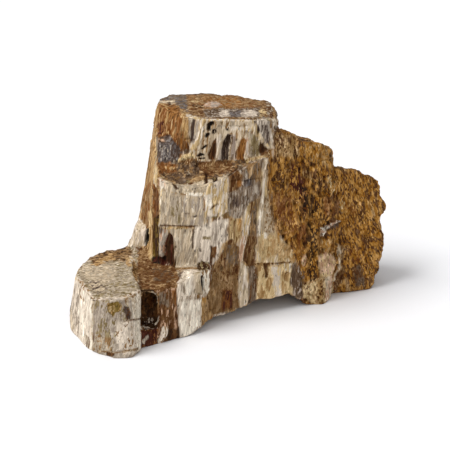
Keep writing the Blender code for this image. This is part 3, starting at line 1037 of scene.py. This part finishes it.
mark("brown band", "clay", "umber", share=0.3, raised=-0.4, crumbling=0.4, ragged=1.3, at=(
    (226, 242), (231, 238), (238, 246), (241, 264), (238, 290), (240, 308), (214, 315), (208, 310),
    (210, 288), (216, 264)
))
mark("brown band violet", "clay", "violet grey", share=0.4, ragged=1.8, soft=1, at=(
    (224, 246), (236, 244), (239, 264), (226, 270)
))
mark("brown band rust", "rust", "oxblood", share=0.45, ragged=1.3, soft=0.8, at=(
    (222, 290), (232, 290), (231, 308), (222, 310)
))
mark("brown band dark", "clay", "tan", share=0.3, ragged=1.3, soft=1, at=(
    (210, 292), (218, 286), (220, 308), (210, 310)
))

# The foot of the column: pale and tan fibres that end on a level break, above the low arch.
mark("low cream strip", "cream", "chalk", raised=0.3, ragged=0.9, at=(
    (241, 262), (248, 267), (248, 303), (240, 308), (238, 292)
))
mark("low violet strip", "violet grey", "umber", ragged=0.9, at=(
    (248, 268), (259, 265), (256, 302), (247, 304)
))
mark("ridge", "straw", "cream", share=0.4, flat=0.5, ragged=2, soft=1, at=(
    (264, 160), (268, 158), (268, 184), (271, 214), (276, 234), (292, 246), (296, 263), (256, 263),
    (258, 234), (259, 205), (262, 186)
))
# The ivory line down the ridge is pale quartz with a painted highlight on its edge.
mark("ridge line highlight", "ivory", "cream", raised=0.3, flat=0.6, ragged=0.7, soft=1.5, at=(
    (265, 158), (268, 158), (265.5, 186), (263, 212), (260, 236), (257, 236), (260, 206), (263, 184)
))
mark("ridge speckled", "cream", "clay", share=0.3, flat=0.5, crumbling=0.8, ragged=2, soft=2.5, at=(
    (264, 196), (270, 200), (275, 232), (265, 234)
))
mark("ridge pale", "straw", "tan", share=0.4, flat=0.4, crumbling=0.5, ragged=2, soft=3, at=(
    (258, 238), (276, 234), (284, 252), (262, 261)
))
mark("ridge chalk spot", "ivory", "ivory", share=0.3, ragged=0.8, soft=0.6, at=(
    (263.5, 233), (267, 233), (267, 238), (264, 239)
))
mark("ridge moss", "tan", "straw", share=0.45, flat=0.4, crumbling=1, ragged=3, soft=4, at=(
    (276, 238), (292, 246), (294, 262), (278, 260)
))
mark("ridge break", "umber", "tan", share=0.4, raised=-0.8, ragged=0.7, at=(
    (253, 263.5), (262, 263), (291, 261.5), (291, 263.5), (262, 265.5), (253, 266)
))
mark("ridge foot", "buff", "tan", share=0.5, flat=0.3, crumbling=0.2, ragged=1.3, at=(
    (258, 266), (291, 263.5), (297, 272), (302, 297), (255, 301)
))
mark("ridge foot pale", "chalk", "buff", share=0.4, ragged=1.5, soft=1.5, at=(
    (270, 266), (280, 266), (282, 297), (276, 298)
))
mark("ridge foot chalk", "ivory", "straw", share=0.4, ragged=0.9, at=(
    (284, 264), (291, 264), (290, 272), (285, 271)
))
mark("ridge pit", "umber", "clay", share=0.4, raised=-0.9, ragged=0.6, at=(
    (264, 264), (268, 264), (268, 278), (265.5, 279)
))
mark("ridge bits", "tan", "umber", raised=-0.4, ragged=1, at=(
    (282, 272), (289, 272), (288, 282), (283, 280)
))
mark("ridge dark end", "violet brown", "lilac", share=0.25, ragged=1.8, soft=0.8, at=(
    (291, 266), (296, 262), (304, 270), (306, 284), (302, 298), (294, 297), (291, 282)
))

# The weathered wing: crumbly sapwood soaked with limonite, whose colours run into each other.
mark("wing", "gold", "umber", share=0.4, ragged=5, soft=9, at=(
    (277, 128), (296, 138), (306, 142), (322, 141), (332, 152), (335, 168), (350, 168), (362, 172),
    (380, 182), (386, 212), (384, 250), (370, 290), (346, 292), (334, 286), (334, 240), (318, 250),
    (312, 280), (304, 286), (298, 264), (292, 246), (278, 232), (270, 200), (269, 160), (276, 148)
))
mark("wing top left", "tan", "umber", share=0.4, flat=0.3, crumbling=0.6, ragged=2, soft=4, at=(
    (276, 132), (296, 138), (300, 156), (274, 160)
))
mark("wing left", "gold", "umber", share=0.5, ragged=2, soft=3, at=(
    (270, 158), (290, 158), (292, 186), (272, 190)
))
mark("wing oxblood", "oxblood", "gold", share=0.4, flat=0.2, ragged=3, soft=5, at=(
    (290, 162), (304, 168), (306, 200), (296, 204), (288, 184)
))
mark("wing rust", "rust", "gold", share=0.3, flat=0.3, ragged=2.5, soft=5, at=(
    (274, 192), (290, 194), (300, 232), (284, 234), (274, 214)
))
mark("wing dark", "soot", "rust", share=0.3, ragged=2, soft=2.5, at=(
    (301, 186), (309, 190), (310, 214), (302, 214)
))
mark("wing grey", "bark", "gold", share=0.45, ragged=2.5, soft=4, at=(
    (308, 192), (324, 196), (322, 222), (308, 216)
))
mark("wing low rust", "rust", "gold", ragged=2.5, soft=4, at=(
    (296, 224), (308, 222), (308, 246), (298, 252)
))
mark("wing low dark", "bark", "gold", ragged=2, soft=4, at=(
    (307, 222), (320, 226), (318, 262), (308, 270)
))
mark("wing gold rim", "gold", "tan", share=0.3, flat=0.3, ragged=2, soft=3, at=(
    (304, 144), (322, 142), (332, 156), (332, 168), (306, 158)
))
mark("wing hole", "bark", "rust", share=0.4, raised=-0.9, ragged=1, soft=0.8, at=(
    (309, 162), (314, 163), (316, 166), (311, 166)
))
mark("wing hole two", "soot", "rust", share=0.4, raised=-1.1, ragged=1, soft=0.8, at=(
    (311, 171), (318, 171), (318, 173), (313, 173)
))
mark("wing tan", "tan", "umber", share=0.4, ragged=2, soft=2, at=(
    (302, 166), (314, 174), (312, 180), (303, 176)
))
mark("wing gold", "gold", "umber", flat=0.5, ragged=3, soft=5, at=(
    (334, 172), (378, 182), (384, 216), (382, 250), (370, 288), (346, 290), (338, 240)
))
mark("wing gold line", "gold", "straw", share=0.3, ragged=1.5, soft=1.5, at=(
    (326, 178), (332, 178), (337, 194), (332, 194)
))
mark("wing orange spot", "orange", "rust", share=0.4, ragged=1.5, soft=1.5, at=(
    (323, 197), (331, 196), (332, 215), (325, 215)
))
mark("wing dark spot", "umber", "rust", share=0.4, soft=2.5, at=(
    (333, 199), (339, 200), (338, 214), (333, 212)
))
mark("wing gold spot", "gold", "straw", soft=1.2, at=(
    (340, 200), (346, 202), (347, 213), (341, 212)
))
mark("wing tan streak", "tan", "gold", share=0.4, ragged=1, soft=1, at=(
    (367, 200), (370, 200), (376, 216), (373, 217)
))
mark("wing red right", "rust", "gold", share=0.5, ragged=2.5, soft=2.5, at=(
    (344, 204), (354, 206), (354, 214), (346, 216)
))
mark("wing low gold", "gold", "rust", share=0.45, flat=0.4, ragged=2.5, soft=2.5, at=(
    (350, 250), (358, 248), (360, 262), (352, 262)
))
mark("wing blotch", "violet brown", "umber", share=0.4, ragged=2, soft=3, at=(
    (354, 266), (362, 264), (364, 286), (355, 288)
))
# Along the little crack, the dark lip is painted shadow under the rim, and the ivory rim is a painted
# highlight.
mark("wing crack shade", "umber", "slate", share=0.4, raised=-0.7, ragged=0.6, soft=0.6, at=(
    (327, 226), (336, 221), (342, 222), (334, 228), (328, 232)
))
mark("wing crack rim highlight", "ivory", "pink", raised=0.7, ragged=0.5, at=(
    (319, 228), (325, 226), (331, 223), (337, 220.5), (341, 221.5), (338, 222.5), (332, 226), (327, 229),
    (325, 234), (323, 238), (321, 236)
))
mark("wing pale slope", "tan", "gold", share=0.5, ragged=2, soft=3, at=(
    (322, 238), (332, 240), (332, 252), (322, 252)
))
mark("wing pale ridge", "straw", "pink", share=0.5, raised=0.4, flat=0.5, ragged=1.5, soft=2.5, at=(
    (318, 256), (326, 252), (333, 256), (334, 270), (328, 278), (320, 276)
))
mark("wing pink", "pink", "straw", share=0.4, flat=0.5, ragged=1, soft=0.8, at=(
    (320, 262), (327, 263), (325, 272), (320, 274)
))
mark("wing grooves", "gold", "bark", share=0.4, raised=-0.4, ragged=0.8, soft=0.8, at=(
    (309, 250), (318, 248), (318, 276), (310, 278)
))
mark("wing pale spot", "pink", "straw", share=0.4, ragged=0.8, soft=0.5, at=(
    (301, 262), (303, 256), (306, 254), (306, 262), (303, 266)
))
mark("wing crease edge", "cream", "tan", share=0.4, raised=0.5, ragged=0.9, at=(
    (337, 244), (341, 246), (343, 264), (336, 282), (333, 281), (338, 266)
))
mark("wing crease", "clay", "umber", share=0.4, raised=-0.6, ragged=0.7, at=(
    (341, 244), (345, 248), (344, 258), (343, 266), (341, 262)
))
mark("wing crease foot", "umber", "clay", share=0.4, raised=-0.8, ragged=0.8, at=(
    (340, 268), (345, 268), (343, 280), (334, 290), (333, 284)
))
mark("wing foot stripe", "clay", "tan", share=0.4, ragged=1, soft=0.8, at=(
    (344, 276), (348, 276), (350, 290), (346, 291)
))
mark("wing foot", "straw", "clay", flat=0.85, at=(
    (303, 285), (318, 280), (332, 274), (334, 291), (329, 300), (320, 305), (311, 303), (304, 298)
))
mark("wing foot pale", "cream", "pink", share=0.4, flat=0.6, ragged=1, at=(
    (325, 278), (332, 276), (332, 298), (325, 302)
))
mark("wing foot brown", "tan", "umber", share=0.4, ragged=1, soft=0.6, at=(
    (317, 282), (323, 280), (323, 298), (318, 298)
))
mark("wing foot crack", "tan", "bark", share=0.4, raised=-0.4, ragged=0.6, at=(
    (305, 283), (313, 277), (316, 278), (322, 276), (316, 281), (307, 285)
))

# Painted shade darkens hollows and creases, and raised relief is made a little paler. Voids and dimples
# get painted shade, mixed towards soot. Fibres and crumbs are lighter where they stand higher. Flecks
# come in clusters, and the sapwood is clouded. Shade takes the same step off red, green and blue,
# counted as the eye ranks light.
EYE = 2.2
HOLLOW_SHADE_PER_MM = 0.25
HOLLOW_SHADE_FULL_MM = 2.0
RAISED_PALER_PER_MM = 0.15
CREASE_SHADE = 0.35
PIT_SHADE = 0.6
FIBRE_SHADE = 0.14
CRUMB_SHADE = 0.25
DARKEST_SHADE = 0.1
CLUSTER = (2.6, 2.6, 9)
CLUSTERING = 1.6
CLOUDS = (4.5, 4.5, 7)
CLOUDING = 0.5

# Painted shade: hollows darker the deeper they go, creases darker, and raised relief a little paler.
shade = 1 - HOLLOW_SHADE_PER_MM * np.clip(-relief, 0, HOLLOW_SHADE_FULL_MM) + RAISED_PALER_PER_MM * np.clip(relief, 0, 1)
shade *= 1 - CREASE_SHADE * rise(0.2, 0.9, -proud)
shade *= 1 + CLOUDING * cloud(grain, CLOUDS, seed=36) * crumbly
shade = np.clip(shade, DARKEST_SHADE, None)
shade += FIBRE_SHADE * fibre * (1 - crumbly) * (1 - broken) + CRUMB_SHADE * (crumb - 0.5) * crumbly
# Painted shade in voids and dimples, mixed towards soot.
pit = (dimple * crumbly + void * (1 - crumbly) * (1 - broken))[:, None] * PIT_SHADE
for colours in (stain, fleck_stain):
    grey = colours.mean(axis=1, keepdims=True) ** (1 / EYE)
    lift = grey * (shade[:, None] ** (1 / EYE) - 1)
    colours[:] = np.clip(colours ** (1 / EYE) + lift, 0, 1) ** EYE
    colours += (ink["soot"] - colours) * pit
fleck_share *= np.clip(1 + CLUSTERING * cloud(grain, CLUSTER, seed=34), 0, 2)

# The relief fades out at the sole, so that the stone still stands flat, and it stays inside the box.
BOX_CLEARANCE = 0.02

above_sole = rise(0.3, 2.5, drawn[:, 2])
lowest = np.array(cad_box[0]) / MM + BOX_CLEARANCE
highest = np.array(cad_box[1]) / MM - BOX_CLEARANCE
moved = np.clip(points + normals * (relief * above_sole)[:, None], lowest, highest)
stone_mesh.vertices.foreach_set("co", (moved * MM).astype(np.float32).ravel())
stone_mesh.update()

for name, colours in (("stain", stain), ("flecks", fleck_stain)):
    layer = stone_mesh.color_attributes.new(name, "FLOAT_COLOR", "POINT")
    opaque = np.concatenate((colours, np.ones((len(colours), 1))), axis=1)
    layer.data.foreach_set("color", opaque.astype(np.float32).ravel())
for name, values in (("crumbly", crumbly), ("broken", broken), ("fleck_share", fleck_share)):
    layer = stone_mesh.attributes.new(name, "FLOAT", "POINT")
    layer.data.foreach_set("value", values.astype(np.float32))
layer = stone_mesh.attributes.new("grain", "FLOAT_VECTOR", "POINT")
layer.data.foreach_set("vector", (grain * MM).astype(np.float32).ravel())

# The sides that the photograph doesn't show keep fewer points: those that their relief needs.
MOST_TRIANGLES = 195000

stone = bpy.data.objects.new("petrified_wood_stone", stone_mesh)
bpy.context.scene.collection.objects.link(stone)
out_of_view = stone.vertex_groups.new(name="out_of_view")
hidden = relaxed((~seen).astype(float)[:, None], 2)[:, 0] > 0.5
out_of_view.add(np.flatnonzero(hidden).tolist(), 1.0, "REPLACE")
thin_out = stone.modifiers.new("thin_out", "DECIMATE")
thin_out.vertex_group = "out_of_view"
thin_out.ratio = MOST_TRIANGLES / (2 * len(stone_mesh.polygons))
thinned = stone.evaluated_get(bpy.context.evaluated_depsgraph_get())
thin_mesh = bpy.data.meshes.new_from_object(thinned)
stone.modifiers.clear()
stone.vertex_groups.clear()
stone.data = thin_mesh
bpy.data.meshes.remove(stone_mesh)
thin_points = np.clip(read(thin_mesh.vertices, "co", 3), lowest * MM, highest * MM)
thin_mesh.vertices.foreach_set("co", thin_points.astype(np.float32).ravel())
thin_mesh.shade_smooth()


def node(material, kind, inputs, **settings):
    """Adds a node with its settings, values and links. A link is given as (node, output)."""
    made = material.node_tree.nodes.new(kind)
    for name, value in settings.items():
        setattr(made, name, value)
    for name, value in inputs.items():
        if isinstance(value, tuple) and hasattr(value[0], "outputs"):
            material.node_tree.links.new(value[0].outputs[value[1]], made.inputs[name])
        else:
            made.inputs[name].default_value = value
    return made


def per(*sizes):
    """The scale at which a pattern's lumps have this width and length along the grain, or x, y and z."""
    across, deep, along = sizes if len(sizes) == 3 else (sizes[0], *sizes)
    return (1 / (across * MM), 1 / (deep * MM), 1 / (along * MM))


# Silicified wood, split and broken: dull quartz that keeps the wood's fibres. The stains come from
# the surface, and are broken up here into fibres, crumbs and grit. Each of these is one cell of a
# pattern, with a tone of its own. The real ones are too fine to measure here, and are taken to be about
# a third of a mm wide. They are drawn more than twice as coarse, or they would not show.
FIBRE_CELL = (0.8, 6.5)
CRUMB_CELL = (0.85, 1.8)
GRIT_CELL = (1.9, 0.8, 0.8)
GRIT_TURN = math.radians(20)
WANDER = 0.55
WANDER_SIZE = 2.4

silicified = bpy.data.materials.new("silicified_wood_split")
silicified.use_nodes = True
silicified.node_tree.nodes.clear()
along_grain, stain_in, flecks_in, share_in, crumbly_in, broken_in = (
    node(silicified, "ShaderNodeAttribute", {}, attribute_name=name)
    for name in ("grain", "stain", "flecks", "fleck_share", "crumbly", "broken")
)

# No fibre is quite straight, and no crumb quite round.
drift = node(
    silicified,
    "ShaderNodeTexNoise",
    {"Vector": (along_grain, "Vector"), "Scale": 1 / (WANDER_SIZE * MM), "Detail": 2.0},
)
shift = node(
    silicified,
    "ShaderNodeVectorMath",
    {0: (drift, "Color"), 1: (2 * WANDER * MM,) * 3, 2: (-WANDER * MM,) * 3},
    operation="MULTIPLY_ADD",
)
wandering = node(
    silicified, "ShaderNodeVectorMath", {0: (along_grain, "Vector"), 1: (shift, "Vector")}, operation="ADD"
)

cells = []
for size, turn in ((FIBRE_CELL, 0), (CRUMB_CELL, 0), (GRIT_CELL, GRIT_TURN)):
    place = node(
        silicified,
        "ShaderNodeMapping",
        {"Vector": (wandering, "Vector"), "Rotation": (0, 0, turn), "Scale": per(*size)},
    )
    cells.append(node(silicified, "ShaderNodeTexVoronoi", {"Vector": (place, "Vector"), "Scale": 1.0}))

# Split faces have fibres, the sapwood crumbs and broken ends grit. A cell's colour is three random
# numbers, and its distance is how far a point lies from its middle. A Mix node has sockets of its own
# for each kind of value.
picked = []
for output, kind, first_input, result in (("Color", "RGBA", 6, 2), ("Distance", "FLOAT", 2, 0)):
    fibres, crumbs, grits = ((cell, output) for cell in cells)
    on_side = node(
        silicified,
        "ShaderNodeMix",
        {0: (crumbly_in, "Fac"), first_input: fibres, first_input + 1: crumbs},
        data_type=kind,
    )
    on_any = node(
        silicified,
        "ShaderNodeMix",
        {0: (broken_in, "Fac"), first_input: (on_side, result), first_input + 1: grits},
        data_type=kind,
    )
    picked.append((on_any, result))
cell_colour, cell_distance = picked
numbers = node(silicified, "ShaderNodeSeparateColor", {"Color": cell_colour})

# Cells with a low second number take the flecks' stain.
is_fleck = node(
    silicified, "ShaderNodeMath", {0: (numbers, "Green"), 1: (share_in, "Fac")}, operation="LESS_THAN"
)
two_stains = node(
    silicified,
    "ShaderNodeMix",
    {0: (is_fleck, "Value"), 6: (stain_in, "Color"), 7: (flecks_in, "Color")},
    data_type="RGBA",
)

# The first number makes a cell lighter or darker, fine hairs vary it along its length, and the third
# paints a few cells bright, as painted glints.
TONE_BEND = 1.4
TONE_RANGE = 0.95
DARKEST_TONE = 0.58
GLINT_SHARE = 0.07
GLINT = 0.6
HAIR_SIZE = (0.6, 3.2)
HAIR_TONE = 0.3

uneven = node(silicified, "ShaderNodeMath", {0: (numbers, "Red"), 1: TONE_BEND}, operation="POWER")
plain_tone = node(
    silicified,
    "ShaderNodeMath",
    {0: (uneven, "Value"), 1: TONE_RANGE, 2: DARKEST_TONE},
    operation="MULTIPLY_ADD",
)
# Painted glints: a few cells are made much lighter in colour.
is_glint = node(
    silicified, "ShaderNodeMath", {0: (numbers, "Blue"), 1: 1 - GLINT_SHARE}, operation="GREATER_THAN"
)
tone = node(
    silicified,
    "ShaderNodeMath",
    {0: (is_glint, "Value"), 1: GLINT, 2: (plain_tone, "Value")},
    operation="MULTIPLY_ADD",
)
hair_place = node(
    silicified, "ShaderNodeMapping", {"Vector": (wandering, "Vector"), "Scale": per(*HAIR_SIZE)}
)
hairs = node(
    silicified, "ShaderNodeTexNoise", {"Vector": (hair_place, "Vector"), "Scale": 1.0, "Detail": 3.0}
)
hair_range = {"From Min": 0.3, "From Max": 0.7, "To Min": 1 - HAIR_TONE, "To Max": 1 + HAIR_TONE}
hair_tone = node(silicified, "ShaderNodeMapRange", {"Value": (hairs, "Fac"), **hair_range})
full_tone = node(
    silicified, "ShaderNodeMath", {0: (tone, "Value"), 1: (hair_tone, "Result")}, operation="MULTIPLY"
)

# Pale quartz is more even than the stained wood.
STAINED_CONTRAST = 1.05
PALE_CONTRAST = 0.5

brightness = node(silicified, "ShaderNodeRGBToBW", {"Color": (two_stains, 2)})
contrasts = {"From Min": 0.12, "From Max": 0.55, "To Min": STAINED_CONTRAST, "To Max": PALE_CONTRAST}
liveliness = node(silicified, "ShaderNodeMapRange", {"Value": (brightness, "Val"), **contrasts})
tone_change = node(silicified, "ShaderNodeMath", {0: (full_tone, "Value"), 1: 1.0}, operation="SUBTRACT")
lively_tone = node(
    silicified,
    "ShaderNodeMath",
    {0: (tone_change, "Value"), 1: (liveliness, "Result"), 2: 1.0},
    operation="MULTIPLY_ADD",
)

# The tone is laid on in light as the eye ranks it, the same on red and green and a little less on
# blue. So a light cell is as deep in colour as a dark one, and a little yellower.
CELL_WARMTH = (1, 1, 0.94)
DARKEST_SEEN = 0.03

eye_tone = node(silicified, "ShaderNodeMath", {0: (lively_tone, "Value"), 1: 1 / EYE}, operation="POWER")
eye_grey = node(silicified, "ShaderNodeMath", {0: (brightness, "Val"), 1: 1 / EYE}, operation="POWER")
eye_change = node(silicified, "ShaderNodeMath", {0: (eye_tone, "Value"), 1: 1.0}, operation="SUBTRACT")
cell_lift = node(
    silicified, "ShaderNodeMath", {0: (eye_change, "Value"), 1: (eye_grey, "Value")}, operation="MULTIPLY"
)
eye_colour = node(silicified, "ShaderNodeGamma", {"Color": (two_stains, 2), "Gamma": 1 / EYE})
lifted = node(
    silicified,
    "ShaderNodeVectorMath",
    {0: (cell_lift, "Value"), 1: CELL_WARMTH, 2: (eye_colour, "Color")},
    operation="MULTIPLY_ADD",
)
not_black = node(
    silicified, "ShaderNodeVectorMath", {0: (lifted, "Vector"), 1: (DARKEST_SEEN,) * 3}, operation="MAXIMUM"
)
toned = node(silicified, "ShaderNodeGamma", {"Color": (not_black, "Vector"), "Gamma": EYE})

# Short dark dashes, where vessels of the wood are still open, and pits between the crumbs, both
# darkened as painted shade inside the holes. Each has a size in mm, a radius in its own cells, and the
# share of the cells that have one.
DASHES = ((1.5, 4.5), 0.26, 0.3)
CRUMB_PITS = ((1.2, 1.9), 0.34, 0.4)
OPENING_EDGE = 0.6
OPENING_LIGHT = 0.35

openings = []
for size, radius, share in (DASHES, CRUMB_PITS):
    place = node(
        silicified, "ShaderNodeMapping", {"Vector": (wandering, "Vector"), "Scale": per(*size)}
    )
    spots = node(silicified, "ShaderNodeTexVoronoi", {"Vector": (place, "Vector"), "Scale": 1.0})
    edge = {"From Min": radius * OPENING_EDGE, "From Max": radius, "To Min": 1.0, "To Max": 0.0}
    disc = node(silicified, "ShaderNodeMapRange", {"Value": (spots, "Distance"), **edge})
    number = node(silicified, "ShaderNodeSeparateColor", {"Color": (spots, "Color")})
    chosen = node(silicified, "ShaderNodeMath", {0: (number, "Red"), 1: share}, operation="LESS_THAN")
    dark_spot = {0: (disc, "Result"), 1: (chosen, "Value")}
    openings.append(node(silicified, "ShaderNodeMath", dark_spot, operation="MULTIPLY"))
opening = node(
    silicified,
    "ShaderNodeMix",
    {0: (crumbly_in, "Fac"), 2: (openings[0], "Value"), 3: (openings[1], "Value")},
    data_type="FLOAT",
)
opening_shade = node(
    silicified, "ShaderNodeMapRange", {"Value": (opening, 0), "To Min": 1.0, "To Max": OPENING_LIGHT}
)
final_colour = node(
    silicified,
    "ShaderNodeVectorMath",
    {0: (toned, "Color"), "Scale": (opening_shade, "Result")},
    operation="SCALE",
)

# Each cell bulges, the openings are holes, and the hairs leave fine grooves. The quartz is weathered
# to a dull skin with hardly a shine.
BULGE = 0.6
HOLE = 0.7
GROOVE = 0.6
GROOVE_DEPTH = 0.5
GROOVE_STRENGTH = 0.8
QUARTZ_IOR = 1.54
WEATHERED_ROUGHNESS = 0.78
WEATHERED_SHINE = 0.15

bulge = node(
    silicified, "ShaderNodeMath", {0: cell_distance, 1: -BULGE, 2: (numbers, "Red")}, operation="MULTIPLY_ADD"
)
holed = node(
    silicified,
    "ShaderNodeMath",
    {0: (opening, 0), 1: -HOLE, 2: (bulge, "Value")},
    operation="MULTIPLY_ADD",
)
height = node(
    silicified,
    "ShaderNodeMath",
    {0: (hairs, "Fac"), 1: GROOVE, 2: (holed, "Value")},
    operation="MULTIPLY_ADD",
)
bump = node(
    silicified,
    "ShaderNodeBump",
    {"Height": (height, "Value"), "Strength": GROOVE_STRENGTH, "Distance": GROOVE_DEPTH * MM},
)
shader = node(
    silicified,
    "ShaderNodeBsdfPrincipled",
    {
        "Base Color": (final_colour, "Vector"),
        "Roughness": WEATHERED_ROUGHNESS,
        "IOR": QUARTZ_IOR,
        "Specular IOR Level": WEATHERED_SHINE,
        "Normal": (bump, "Normal"),
    },
)
node(silicified, "ShaderNodeOutputMaterial", {"Surface": (shader, "BSDF")})

thin_mesh.materials.clear()
thin_mesh.materials.append(silicified)
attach(stone, "root")
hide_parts("petrified_wood")

# The table
# A wide sheet of white paper, lit so evenly that only the stone's own shadow shows on it.
SHEET_HALF = 3.0
PAPER_WHITE = "#F3F3F5"

sheet = bpy.data.meshes.new("paper")
corners = [(x * SHEET_HALF, y * SHEET_HALF, 0) for x, y in ((-1, -1), (1, -1), (1, 1), (-1, 1))]
sheet.from_pydata(corners, [], [(0, 1, 2, 3)])
paper = bpy.data.objects.new("paper", sheet)
bpy.context.scene.collection.objects.link(paper)
white_paper = bpy.data.materials.new("white_paper")
white_paper.use_nodes = True
white_paper.node_tree.nodes.clear()
paper_shader = node(
    white_paper,
    "ShaderNodeBsdfPrincipled",
    {"Base Color": (*linear(PAPER_WHITE), 1), "Roughness": 0.9, "Specular IOR Level": 0.1},
)
node(white_paper, "ShaderNodeOutputMaterial", {"Surface": (paper_shader, "BSDF")})
sheet.materials.append(white_paper)

# The light
# White walls all round, and one large soft window, high on the left and a little in front.
ROOM_LIGHT = 0.55
WINDOW_LIGHT = 2.6
WINDOW_TURN = math.radians(-71)
WINDOW_HEIGHT = math.radians(52)
WINDOW_SPREAD = math.radians(35)

room = bpy.data.worlds.new("white_room")
bpy.context.scene.world = room
room.use_nodes = True
walls = room.node_tree.nodes["Background"]
walls.inputs["Color"].default_value = (1, 1, 1, 1)
walls.inputs["Strength"].default_value = ROOM_LIGHT
window_light = bpy.data.lights.new("window", "SUN")
window_light.energy = WINDOW_LIGHT
window_light.angle = WINDOW_SPREAD
window = bpy.data.objects.new("window", window_light)
bpy.context.scene.collection.objects.link(window)
window.rotation_euler = (math.pi / 2 - WINDOW_HEIGHT, 0, WINDOW_TURN)
bpy.context.scene.view_settings.view_transform = "Standard"

print("stone triangles", len(thin_mesh.loops) - 2 * len(thin_mesh.polygons))
